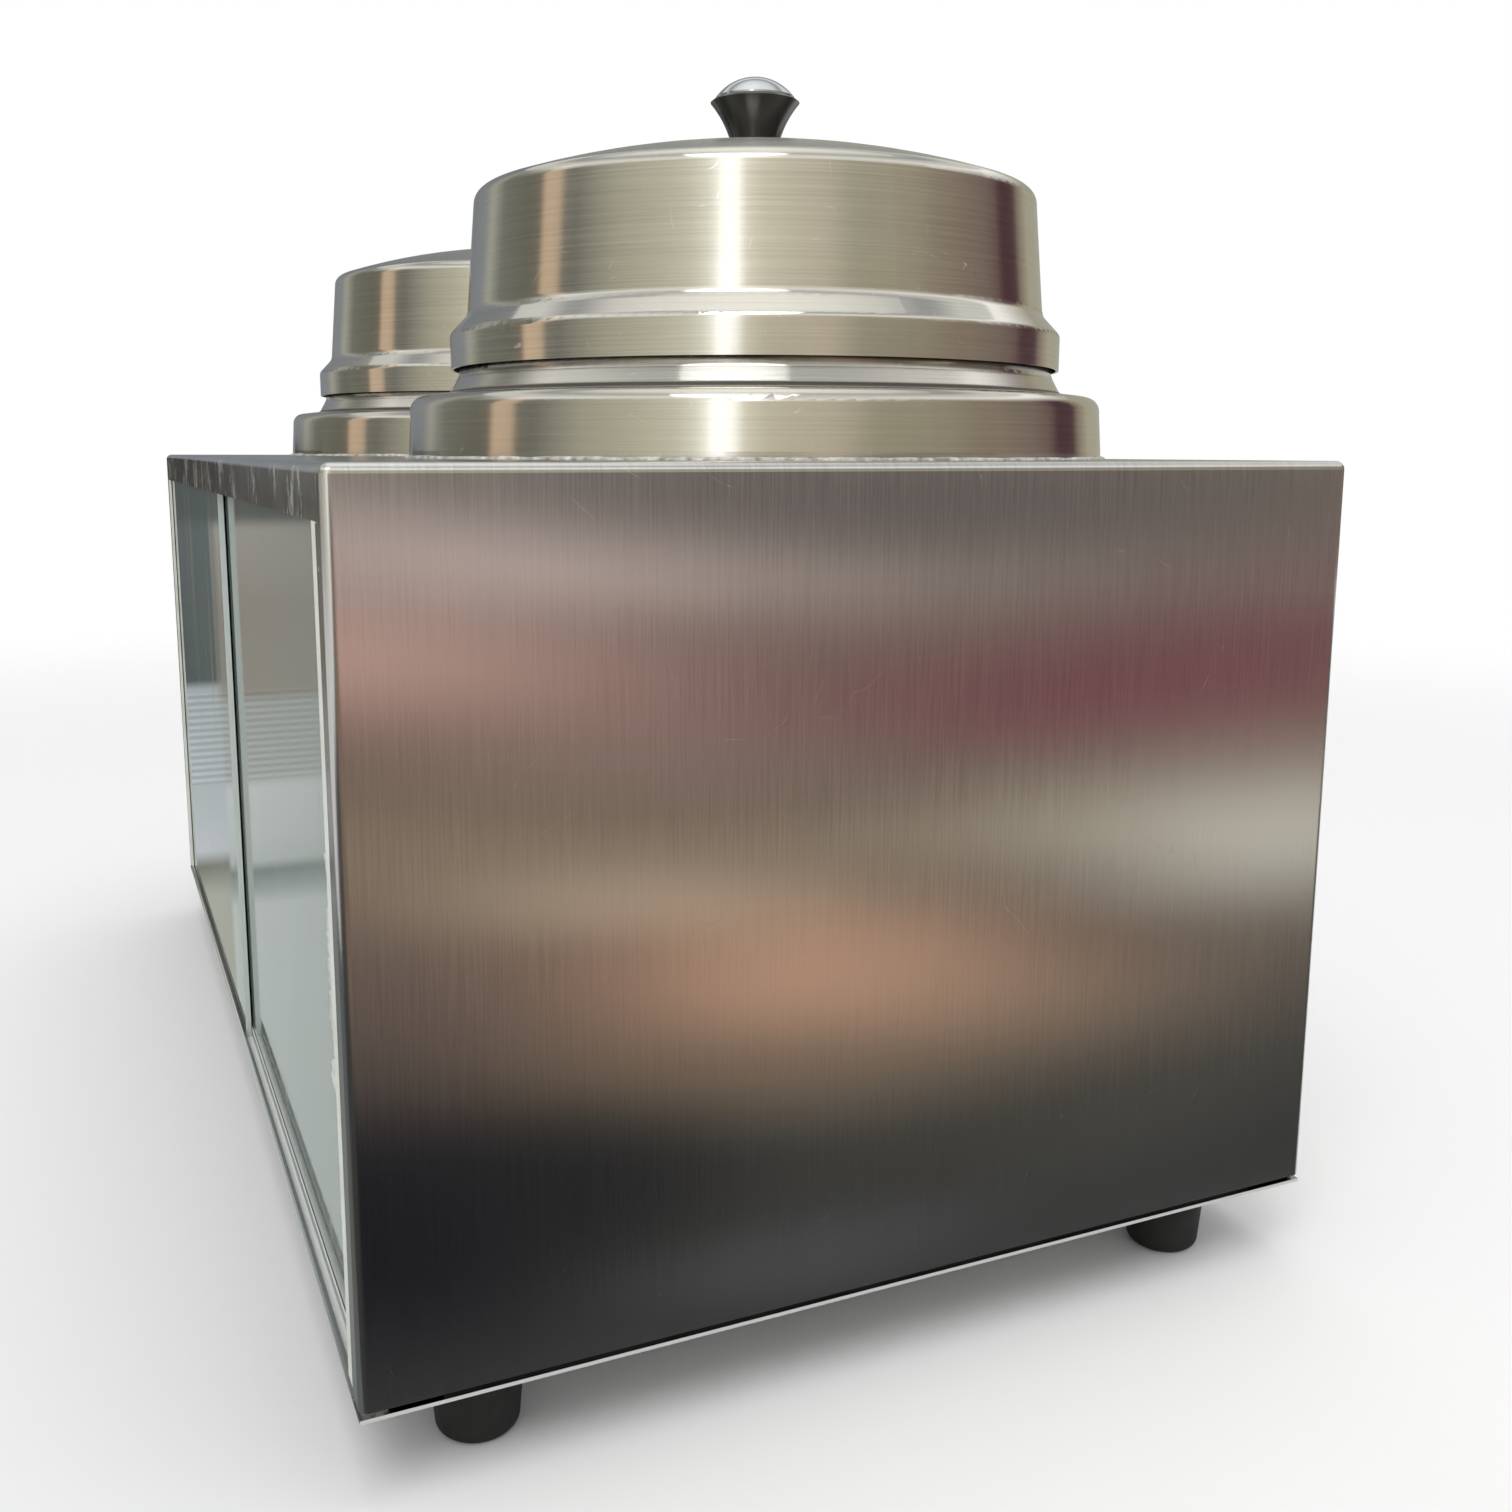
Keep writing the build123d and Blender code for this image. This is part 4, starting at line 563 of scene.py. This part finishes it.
# Small finishes. cloudSize is the spread of the faint mottling, grainSize that of the fine texture and depth the
# height of that texture, all in mm
finishes = {
    # White vinyl edge trim, extruded: soft shine with a little yellowing and grime
    "extrudedVinyl": {
        "colour": "#f4f6f0", "dullColour": "#dfe0d2", "roughness": (0.3, 0.45), "ior": 1.53, "cloudSize": 14,
        "grainSize": 1.5, "depth": 0.02, "nodes": ["jamb_strip_*"]},
    # White enamel baked on the reflector: even and slightly orange-peeled
    "bakedEnamel": {
        "colour": "#eff0ec", "dullColour": "#e4e4dd", "roughness": (0.22, 0.32), "cloudSize": 50,
        "grainSize": 2.5, "depth": 0.02, "nodes": ["reflector"]},
    # White polycarbonate lamp holders, moulded: satin with a fine spark-eroded grain
    "mouldedPolycarbonate": {
        "colour": "#e9e8e1", "dullColour": "#dddbd0", "roughness": (0.35, 0.45), "ior": 1.58, "cloudSize": 20,
        "grainSize": 0.5, "depth": 0.01, "nodes": ["lamp_holders"]},
    # Black stove enamel on the ballast case
    "stoveEnamel": {
        "colour": "#1c1c1e", "dullColour": "#26262a", "roughness": (0.35, 0.5), "cloudSize": 16,
        "grainSize": 1.2, "depth": 0.03, "nodes": ["lamp_ballast"]},
    # Black phenolic, compression moulded: deep gloss worn to satin by hands
    "mouldedPhenolic": {
        "colour": "#0a0b0b", "dullColour": "#121212", "roughness": (0.14, 0.3), "ior": 1.6, "cloudSize": 9,
        "grainSize": 0.6, "depth": 0.006, "nodes": ["lid_knob_*", "control_knob_*"]},
    # Chrome plate over polished brass: a mirror with faint haze
    "chromePlate": {
        "colour": "#c3c6ca", "dullColour": "#b4b8bd", "roughness": (0.03, 0.1), "metallic": 1.0, "cloudSize": 5,
        "grainSize": 0.8, "depth": 0.002, "nodes": ["knob_cap_*", "pilot_holders"]},
    # Zinc plate on pressed steel: bluish grey with a faint spangle
    "zincPlate": {
        "colour": "#a9adb1", "dullColour": "#8d9296", "roughness": (0.3, 0.5), "metallic": 1.0, "cloudSize": 12,
        "grainSize": 2.0, "depth": 0.01, "nodes": ["heater_clamp_*", "thermostat_*"]},
    # Zinc plate gone dark and greasy inside the base
    "agedZincPlate": {
        "colour": "#2c2e30", "dullColour": "#202122", "roughness": (0.4, 0.6), "metallic": 1.0, "cloudSize": 14,
        "grainSize": 2.0, "depth": 0.01, "nodes": ["base_angle_*"]},
    # Cast aluminium heater plates: pale skin with sand grain
    "castAluminium": {
        "colour": "#a4a5a6", "dullColour": "#88898b", "roughness": (0.42, 0.6), "metallic": 1.0,
        "cloudSize": 10, "grainSize": 0.9, "depth": 0.12, "nodes": ["heater_plate_*"]},
    # Turned stainless shafts, screws and nuts: bright, with tool marks
    "turnedStainless": {
        "colour": "#c4c3c0", "dullColour": "#aaa8a3", "roughness": (0.2, 0.34), "metallic": 1.0, "cloudSize": 3,
        "grainSize": 0.4, "depth": 0.006,
        "nodes": ["control_shaft_*", "knob_screw_*", "foot_screws", "foot_nuts", "heater_nuts"]},
    # Drawn copper bulbs and capillaries: salmon with brown tarnish
    "drawnCopper": {
        "colour": "#c98764", "dullColour": "#8f5a3f", "roughness": (0.22, 0.4), "metallic": 1.0, "cloudSize": 8,
        "grainSize": 1.0, "depth": 0.006, "nodes": ["sensing_bulb_*"]},
    # Black nylon switch and gland, moulded: matt sheen over a fine grain
    "mouldedNylon": {
        "colour": "#141415", "dullColour": "#202021", "roughness": (0.38, 0.52), "ior": 1.53, "cloudSize": 12,
        "grainSize": 0.4, "depth": 0.012, "nodes": ["switch_housing", "switch_rocker", "cord_gland"]},
    # Cream urea terminal block, moulded: dull and chalky
    "mouldedUrea": {
        "colour": "#ddd6bd", "dullColour": "#cbc3a8", "roughness": (0.5, 0.65), "ior": 1.55, "cloudSize": 9,
        "grainSize": 0.5, "depth": 0.02, "nodes": ["terminal_block"]},
    # Black natural rubber feet, moulded: soft grey bloom over a fine matt grain
    "mouldedRubber": {
        "colour": "#060606", "dullColour": "#101010", "roughness": (0.6, 0.8), "cloudSize": 7,
        "grainSize": 0.5, "depth": 0.03, "nodes": ["foot_front_*", "foot_rear_*"]},
}


def makeFinish(name, look):
    material, tree, shader = startMaterial(name, {"Metallic": look.get("metallic", 0), "IOR": look.get("ior", 1.5)})
    place = addNode(tree, "TexCoord").outputs["Object"]
    cloud = addNode(tree, "TexNoise", {"Scale": 1000 / look["cloudSize"], "Detail": 4.0, "Roughness": 0.6,
                                       0: place})
    grain = addNode(tree, "TexNoise", {"Scale": 1000 / look["grainSize"], "Detail": 2.0, 0: place})
    share = addNode(tree, "MapRange", {"From Min": 0.35, "From Max": 0.7, "Value": cloud})
    colour = addNode(tree, "Mix RGBA", {0: share, 6: look["colour"], 7: look["dullColour"]})
    low, high = look["roughness"]
    rough = addNode(tree, "MapRange", {**noiseSpan, "To Min": low, "To Max": high, "Value": cloud})
    bump = addNode(tree, "Bump", {"Strength": 0.5, "Distance": look["depth"] * millimetre, "Height": grain})
    setNode(shader, {"Base Color": colour.outputs[2], "Roughness": rough, "Normal": bump})
    return material


finished = {name: makeFinish(name, look) for name, look in finishes.items()}
for name, look in finishes.items():
    useMaterial(finished[name], *look["nodes"])

# Tinted cast acrylic, glossy on its faces and chalky on the sawn edges, with wipe marks running down it, in mm
castAcrylic = {
    "colour": "#7c8782", "grime": "#a8a297", "edge": "#d3dcd8", "roughness": (0.015, 0.16), "edgeRoughness": 0.45,
    "streak": (9.0, 150.0), "grimeShare": 0.4,
}


def makeCastAcrylic(look):
    material, tree, shader = startMaterial("castAcrylic", {"IOR": 1.49})
    wide, tall = look["streak"]
    streak = brushedStreaks(tree, [1000 / wide, 1000 / wide, 1000 / tall], 3.0)
    dirt = addNode(tree, "MapRange", {"From Min": 0.48, "From Max": 0.75, "To Max": look["grimeShare"],
                                      "Value": streak})
    body = addNode(tree, "Mix RGBA", {0: dirt, 6: look["colour"], 7: look["grime"]}).outputs[2]
    sawn = addNode(tree, "Math SUBTRACT", {0: 1.0, 1: facesAlong(tree, 1)})
    colour = addNode(tree, "Mix RGBA", {0: sawn, 6: body, 7: look["edge"]})
    low, high = look["roughness"]
    gloss = addNode(tree, "MapRange", {"From Min": 0.4, "From Max": 0.8, "To Min": low, "To Max": high,
                                       "Value": streak})
    rough = addNode(tree, "Math MULTIPLY_ADD", {0: sawn, 1: look["edgeRoughness"], 2: gloss})
    setNode(shader, {"Base Color": colour.outputs[2], "Roughness": rough})
    return material


useMaterial(makeCastAcrylic(castAcrylic), "sign_pane_outer", "sign_pane_inner")

# Bright-dipped aluminium extrusion: die lines run its whole length
extrudedAluminium = {
    "colour": "#e6e8ea", "dullColour": "#d6d8da", "roughness": (0.5, 0.6), "anisotropy": 0.2, "grainPitch": 0.4,
    "grainLength": 60.0, "grainDepth": 0.006, "bump": 0.25, "lineShade": (0.94, 1.03),
    "mottles": 18.0, "hairs": (60.0, 0.002, 0.4),
}
trackMetal = makeBrushedMetal("extrudedAluminium", extrudedAluminium, "X", "Z")
# Painted highlight: the bottom track's flat lip faces are painted pale, standing in for the light they catch from
# above
addRawEdges(trackMetal, 2, "#e9ece9", 0.04)
useMaterial(trackMetal, "sign_track_bottom", "sign_track_top")

# Silicone-insulated wires, each its own colour, in a dry, slightly dusty sleeve
siliconeSleeve = {"colours": ["#8e1f1a", "#1f3f8f", "#c9c7bf", "#1c1c1c", "#a8842a"], "dust": "#9a958c",
                  "dustSize": 2.5, "dustShare": 0.35}


def makeSiliconeSleeve(look):
    material, tree, shader = startMaterial("siliconeSleeve", {"Roughness": 0.5, "IOR": 1.41})
    island = addNode(tree, "NewGeometry").outputs["Random Per Island"]
    stops = [((i + 0.5) / len(look["colours"]), colour) for i, colour in enumerate(look["colours"])]
    pick = addNode(tree, "ValToRGB", {"stops": stops, 0: island})
    pick.color_ramp.interpolation = "CONSTANT"
    place = addNode(tree, "TexCoord").outputs["Object"]
    dust = addNode(tree, "TexNoise", {"Scale": 1000 / look["dustSize"], "Detail": 4.0, 0: place})
    amount = addNode(tree, "MapRange", {"From Min": 0.5, "From Max": 0.9, "To Max": look["dustShare"],
                                        "Value": dust})
    colour = addNode(tree, "Mix RGBA", {0: amount, 6: pick, 7: look["dust"]})
    setNode(shader, {"Base Color": colour.outputs[2]})
    return material


useMaterial(makeSiliconeSleeve(siliconeSleeve), "wiring")

# Phosphor-coated glass tube: milky white, greyed near its bright end caps. Lengths are in mm
phosphorGlass = {"glass": "#f1f0ea", "spent": "#a7a39a", "cap": "#b9bbbd", "pinLength": 7.0, "capLength": 12.0,
                 "spentLength": 10.0, "roughness": (0.06, 0.28)}


def makeLampGlass(look):
    material, tree, shader = startMaterial("phosphorGlass", {"IOR": 1.52})
    low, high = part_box("lamp_tube")
    capStart = high.x - (look["pinLength"] + look["capLength"]) * millimetre
    part = addNode(tree, "SeparateXYZ", {0: addNode(tree, "TexCoord").outputs["Object"]})
    reach = addNode(tree, "Math ABSOLUTE", {0: part})
    onCap = addNode(tree, "Math GREATER_THAN", {0: reach, 1: capStart})
    shade = addNode(tree, "MapRange", {"From Min": capStart - look["spentLength"] * millimetre,
                                       "From Max": capStart, "Value": reach})
    glass = addNode(tree, "Mix RGBA", {0: shade, 6: look["glass"], 7: look["spent"]})
    colour = addNode(tree, "Mix RGBA", {0: onCap, 6: glass.outputs[2], 7: look["cap"]})
    smooth, rough = look["roughness"]
    shine = addNode(tree, "MapRange", {"To Min": smooth, "To Max": rough, "Value": onCap})
    setNode(shader, {"Base Color": colour.outputs[2], "Metallic": onCap, "Roughness": shine})
    return material


useMaterial(makeLampGlass(phosphorGlass), "lamp_tube")

# Amber polycarbonate lenses, moulded: clear gloss over a saturated body, with small prisms inside. The amber is
# painted deeper where the surface slants from the view, a painted shade standing in for the longer path of light
# through the body
amberPolycarbonate = {"colour": "#e8741c", "slantShadeColour": "#b8430c", "prismsPerMetre": 900.0, "prismDepth": 0.05}


def makeAmberLens(look):
    material, tree, shader = startMaterial("amberPolycarbonate", {"Roughness": 0.08, "IOR": 1.58,
                                                                  "Transmission Weight": 0.35})
    # Painted shade: deeper amber where the surface turns away from the view
    facing = addNode(tree, "LayerWeight", {"Blend": 0.4}).outputs["Facing"]
    colour = addNode(tree, "Mix RGBA", {0: facing, 6: look["colour"], 7: look["slantShadeColour"]})
    place = addNode(tree, "TexCoord").outputs["Object"]
    prisms = addNode(tree, "TexVoronoi", {"Scale": look["prismsPerMetre"], 0: place})
    bump = addNode(tree, "Bump", {"Strength": 0.3, "Distance": look["prismDepth"] * millimetre, "Height": prisms})
    setNode(shader, {"Base Color": colour.outputs[2], "Normal": bump})
    return material


useMaterial(makeAmberLens(amberPolycarbonate), "pilot_lens_*")
print("materials made")


def addPiece(mesh, material, body):
    for polygon in mesh.polygons:
        polygon.use_smooth = True
    mesh.materials.clear()
    mesh.materials.append(material)
    piece = addToScene(mesh)
    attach(piece, body)
    return piece


# Faces between rows of points that follow each other, as open strips or closed rings
def bridgeRows(shape, rows, closed=False):
    for row, following in zip(rows, rows[1:]):
        for j in range(len(row) if closed else len(row) - 1):
            k = (j + 1) % len(row)
            shape.faces.new((row[j], row[k], following[k], following[j]))


def endShape(shape, name, turnOut=True):
    if turnOut:
        bmesh.ops.recalc_face_normals(shape, faces=shape.faces)
    mesh = bpy.data.meshes.new(name)
    shape.to_mesh(mesh)
    shape.free()
    return mesh


def ripple(x, y, z):
    return noise.noise(Vector((x, y, z)))


# Even steps once round a circle
def roundTurns(count):
    return [2 * math.pi * i / count for i in range(count)]


# Silicone sealant run round each collar's foot by hand: uneven, smeared and dusty. Sizes are in mm
sealantBead = {"radius": 100.3, "lift": 221.05, "thick": 0.75, "wobble": 0.3, "waves": (9, 14),
               "steps": 260, "sections": 8}
sealant = makeFinish("toolSmoothedSilicone", {
    "colour": "#8b8880", "dullColour": "#e2e0da", "roughness": (0.25, 0.5), "ior": 1.41,
    "cloudSize": 2.4, "grainSize": 0.6, "depth": 0.15})


def makeSealant(side, look):
    axisX, axisY = wellPlaces[side]
    points, radii = [], []
    slow, quick = look["waves"]
    for turn in roundTurns(look["steps"]):
        x, y = math.cos(turn), math.sin(turn)
        radius = (look["radius"] + look["wobble"] * ripple(x * slow, y * slow, sides[side])) * millimetre
        points.append(Vector((axisX + radius * x, axisY + radius * y, look["lift"] * millimetre)))
        radii.append((look["thick"] + look["wobble"] * ripple(x * quick, y * quick, 7)) * millimetre)
    shape = bmesh.new()
    rows = []
    for i, point in enumerate(points):
        along = (points[(i + 1) % len(points)] - points[i - 1]).normalized()
        outward = along.cross(Vector((0, 0, 1))).normalized()
        upward = outward.cross(along)
        rows.append([shape.verts.new(point + radii[i] * (math.cos(t) * outward + math.sin(t) * upward))
                     for t in roundTurns(look["sections"])])
    bridgeRows(shape, rows + rows[:1], closed=True)
    addPiece(endShape(shape, "collarSealant_" + side), sealant, "housing")


for side in sides:
    makeSealant(side, sealantBead)

# Printed dial round each rear knob: ticks and the numbers 1 to 10, clockwise from rest at the top. Sizes are in mm
dialPrint = {"face": 120.05, "height": 141.0, "across": 42.0, "tickIn": 21.6, "tickOut": 24.0, "tickWide": 0.5,
             "number": 27.2, "numberSize": 4.6, "numbers": 10, "sweep": 270.0, "thick": 0.06}
printInk = makeFinish("screenPrintInk", {
    "colour": "#18191b", "dullColour": "#2b2c2e", "roughness": (0.4, 0.55),
    "cloudSize": 6, "grainSize": 0.3, "depth": 0.01})


def addTick(shape, centre, turn, start, look):
    out = Vector((-math.sin(turn), 0, math.cos(turn)))
    beside = Vector((math.cos(turn), 0, math.sin(turn)))
    corners = []
    for lift in (0.0, look["thick"]):
        for reach, step in ((start, -1), (look["tickOut"], -1), (look["tickOut"], 1), (start, 1)):
            spot = out * reach + beside * step * look["tickWide"] / 2 + Vector((0, lift, 0))
            corners.append(shape.verts.new(centre + spot * millimetre))
    shape.faces.new(corners[4:])
    bridgeRows(shape, [corners[:4], corners[4:]], closed=True)


def addDigits(shape, centre, turn, digits, look):
    text = bpy.data.curves.new("digit", "FONT")
    text.body, text.size = digits, look["numberSize"] * millimetre
    text.align_x, text.align_y, text.extrude = "CENTER", "CENTER", look["thick"] / 2 * millimetre
    holder = bpy.data.objects.new("digit", text)
    mesh = bpy.data.meshes.new_from_object(holder)
    turned = Euler((math.radians(90), 0, math.radians(180))).to_matrix().to_4x4()
    turned.translation = centre + Vector((-math.sin(turn) * look["number"], look["thick"] / 2,
                                          math.cos(turn) * look["number"])) * millimetre
    mesh.transform(turned)
    shape.from_mesh(mesh)
    bpy.data.objects.remove(holder)


def makeDial(side, look):
    shape = bmesh.new()
    centre = Vector((sides[side] * look["across"], look["face"], look["height"])) * millimetre
    for i in range(look["numbers"] * 2 + 1):
        start = look["tickIn"] if i % 2 == 0 else (look["tickIn"] + look["tickOut"]) / 2
        addTick(shape, centre, math.radians(look["sweep"] * i / (look["numbers"] * 2)), start, look)
    for i in range(1, look["numbers"] + 1):
        addDigits(shape, centre, math.radians(look["sweep"] * i / look["numbers"]), str(i), look)
    addPiece(endShape(shape, "dialPrint_" + side), printInk, "housing")


for side in sides:
    makeDial(side, dialPrint)
print("dials printed")

# Pan-head screws with a cross recess, in place of the plain heads under the pan and on the rear panel. Sizes in mm
panHead = {"headRadius": 3.4, "headHeight": 2.0, "recessHalf": 1.9, "recessWide": 0.42, "recessDepth": 1.2,
           "recessSlope": 0.25, "recessRise": 0.4, "domeSpread": 1.02, "domePower": 3.2,
           "rings": 14, "steps": 40, "shank": 1.75}


def addScrew(shape, spot, out, shankLength, look, turn):
    beside = out.orthogonal().normalized()
    beside.rotate(Euler([turn * c for c in out]))
    third = out.cross(beside)

    def addRing(radius, rise):
        row = []
        for angle in roundTurns(look["steps"]):
            x, y = radius * math.cos(angle), radius * math.sin(angle)
            row.append(shape.verts.new(spot + (beside * x + third * y + out * rise(x, y)) * millimetre))
        return row

    # The head's dome, less the cross-shaped recess
    def headRise(x, y):
        reach, wide, half = math.hypot(x, y), look["recessWide"], look["recessHalf"]
        domeReach = reach / (look["headRadius"] * look["domeSpread"])
        dome = look["headHeight"] * math.sqrt(max(0.0, 1 - domeReach ** look["domePower"]))
        arm = min(max(abs(x) - wide, abs(y) - half), max(abs(y) - wide, abs(x) - half))
        dip = look["recessDepth"] * min(max(-arm / look["recessSlope"], 0.0), 1.0)
        return dome - dip * (1 - look["recessRise"] * reach / half)

    rows = [addRing(look["headRadius"] * i / look["rings"], headRise) for i in range(look["rings"] + 1)]
    rows.append(addRing(look["headRadius"], lambda x, y: 0.0))
    rows.append(addRing(look["shank"], lambda x, y: 0.0))
    rows.append(addRing(look["shank"], lambda x, y: -shankLength))
    bridgeRows(shape, rows, closed=True)
    shape.faces.new(rows[-1])


def makeScrews(name, spots, out, shankLength, node, look, seed):
    dice = random.Random(seed)
    shape = bmesh.new()
    for spot in spots:
        addScrew(shape, Vector(spot) * millimetre, Vector(out), shankLength, look, dice.uniform(0, math.pi))
    bmesh.ops.remove_doubles(shape, verts=shape.verts, dist=1e-7)
    piece = addPiece(endShape(shape, name), finished["turnedStainless"], "housing")
    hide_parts(node)


rearSpots = [(s * 223.5, 121.1, 21 + h) for s in (-1, 1) for h in (30, 100, 170)]
rearSpots += [(x, 121.1, 213.5) for x in (-120, 0, 120)]
makeScrews("rearPanelScrews", rearSpots, (0, 1, 0), 5.9, "rear_panel_screws", panHead, 3)
baseSpots = [(s * 222.95, y, 21.0) for s in (-1, 1) for y in (-78.9, -8.9, 61.1)]
makeScrews("basePanScrews", baseSpots, (0, 0, -1), 6.1, "base_screws", panHead, 5)
print("screws made")

# White paint in the pointer groove of each control knob. Sizes are in mm
pointerPaint = {
    "across": 42.0, "face": 138.5, "sunk": 0.2, "height": 141.0, "start": 1.0, "end": 17.2, "wide": 1.1,
    "thick": 0.3, "steps": 14, "waver": 0.12, "section": ((-1, 0), (-0.6, 0.8), (0, 1), (0.6, 0.8), (1, 0)),
}
paintWhite = makeFinish("brushedOnEnamel", {
    "colour": "#eeeee8", "dullColour": "#d9d8cf", "roughness": (0.35, 0.5),
    "cloudSize": 3, "grainSize": 0.7, "depth": 0.05})


def makePointer(side, look):
    shape = bmesh.new()
    rows = []
    for i in range(look["steps"] + 1):
        along = look["start"] + (look["end"] - look["start"]) * i / look["steps"]
        wide = look["wide"] / 2 * (1 + look["waver"] * ripple(along * 2, sides[side], 0))
        foot = Vector((sides[side] * look["across"], look["face"] - look["sunk"], look["height"] + along))
        rows.append([shape.verts.new((foot + Vector((u * wide, lift * look["thick"], 0))) * millimetre)
                     for u, lift in look["section"]])
    bridgeRows(shape, rows)
    for row in (rows[0], rows[-1]):
        shape.faces.new(row)
    shape.faces.new([row[0] for row in rows] + [row[-1] for row in reversed(rows)])
    addPiece(endShape(shape, "pointerPaint_" + side), paintWhite, "control_" + side)


for side in sides:
    makePointer(side, pointerPaint)

# Glass-wool blankets round the wells: lumpy, matted and held by two straps. Sizes are in mm
blanket = {"inner": 84.55, "outer": 89.6, "low": 95.2, "high": 200.8, "steps": 120, "rows": 30, "lump": 0.9,
           "straps": (118.0, 178.0), "strapWide": 9.0, "strapPull": 1.6, "edgeThick": 0.45,
           "edgeSlope": 6, "lumpsRound": 7, "lumpTall": 12}
glassWool = makeFinish("mattedGlassWool", {
    "colour": "#e2d9a8", "dullColour": "#c9b877", "roughness": (0.85, 0.95),
    "cloudSize": 9, "grainSize": 0.9, "depth": 0.8})


def makeBlanket(side, look):
    axisX, axisY = wellPlaces[side]
    profile = [(0.0, 0.0)] + [(1.0, i / look["rows"]) for i in range(look["rows"] + 1)] + [(0.0, 1.0)]
    vertices, faces = [], []
    for turn in roundTurns(look["steps"]):
        x, y = math.cos(turn), math.sin(turn)
        for share, up in profile:
            height = look["low"] + (look["high"] - look["low"]) * up
            lump = ripple(x * look["lumpsRound"], y * look["lumpsRound"], height / look["lumpTall"])
            outer = look["outer"] - look["lump"] * (0.5 + 0.5 * lump)
            pull = max(0.0, 1 - min(abs(height - s) for s in look["straps"]) / look["strapWide"])
            outer -= look["strapPull"] * pull * pull
            edge = min(1.0, look["edgeSlope"] * min(up, 1 - up) + look["edgeThick"])
            radius = (look["inner"] + (outer - look["inner"]) * share * edge) * millimetre
            vertices.append((axisX + radius * x, axisY + radius * y, height * millimetre))
    tall = len(profile)
    for i in range(look["steps"]):
        k = (i + 1) % look["steps"]
        for j in range(tall):
            m = (j + 1) % tall
            faces.append((i * tall + j, k * tall + j, k * tall + m, i * tall + m))
    mesh = bpy.data.meshes.new("insulationBlanket_" + side)
    mesh.from_pydata(vertices, [], faces)
    piece = addPiece(mesh, glassWool, "housing")
    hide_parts("insulation_wrap_" + side)


for side in sides:
    makeBlanket(side, blanket)
print("blankets made")

# Torn bits of protective film left beside the right-hand jamb strip. Sizes are in mm
filmScraps = {
    "edge": 218.7, "root": -138.5, "tip": -138.82, "thick": 0.05, "step": 0.8,
    "fringe": (0.35, 0.65, 0.3), "least": 0.15, "shares": (0.0, 0.2, 1.0), "curlRise": 4, "curlWave": 0.15,
    # low, high and reach of each
    "pieces": [(96.0, 134.0, 10.0), (89.0, 97.0, 14.0), (137.0, 142.0, 7.0), (60.0, 66.0, 5.0)],
}
filmPlastic = makeFinish("tornPolyethyleneFilm", {
    "colour": "#eef1ee", "dullColour": "#cfd5d0", "roughness": (0.2, 0.4), "ior": 1.51,
    "cloudSize": 3, "grainSize": 0.8, "depth": 0.1})


def makeFilm(look):
    shape = bmesh.new()
    plain, torn, frayed = look["fringe"]
    for number, (low, high, wide) in enumerate(look["pieces"]):
        steps = max(6, int((high - low) / look["step"]))
        rows = []
        for i in range(steps + 1):
            height = low + (high - low) * i / steps
            fringe = plain + torn * abs(ripple(height * 0.9, number * 5, 1))
            fringe += frayed * ripple(height * 3, 2, number)
            taper = min(1.0, 4 * min(i, steps - i) / steps + look["least"])
            reach = wide * max(look["least"], fringe) * taper
            row = []
            for share in look["shares"]:
                wave = 1 - look["curlWave"] * (1 - ripple(height * 0.4, 9, number))
                curl = min(1.0, look["curlRise"] * share) * wave
                depth = look["root"] + (look["tip"] - look["root"]) * curl
                row.append(shape.verts.new(Vector((look["edge"] - reach * share, depth, height)) * millimetre))
            rows.append(row)
        bridgeRows(shape, rows)
    mesh = endShape(shape, "filmScraps", turnOut=False)
    piece = addPiece(mesh, filmPlastic, "housing")
    thickness = piece.modifiers.new("thickness", "SOLIDIFY")
    thickness.thickness, thickness.offset = look["thick"] * millimetre, 0.0


makeFilm(filmScraps)
print("film made")
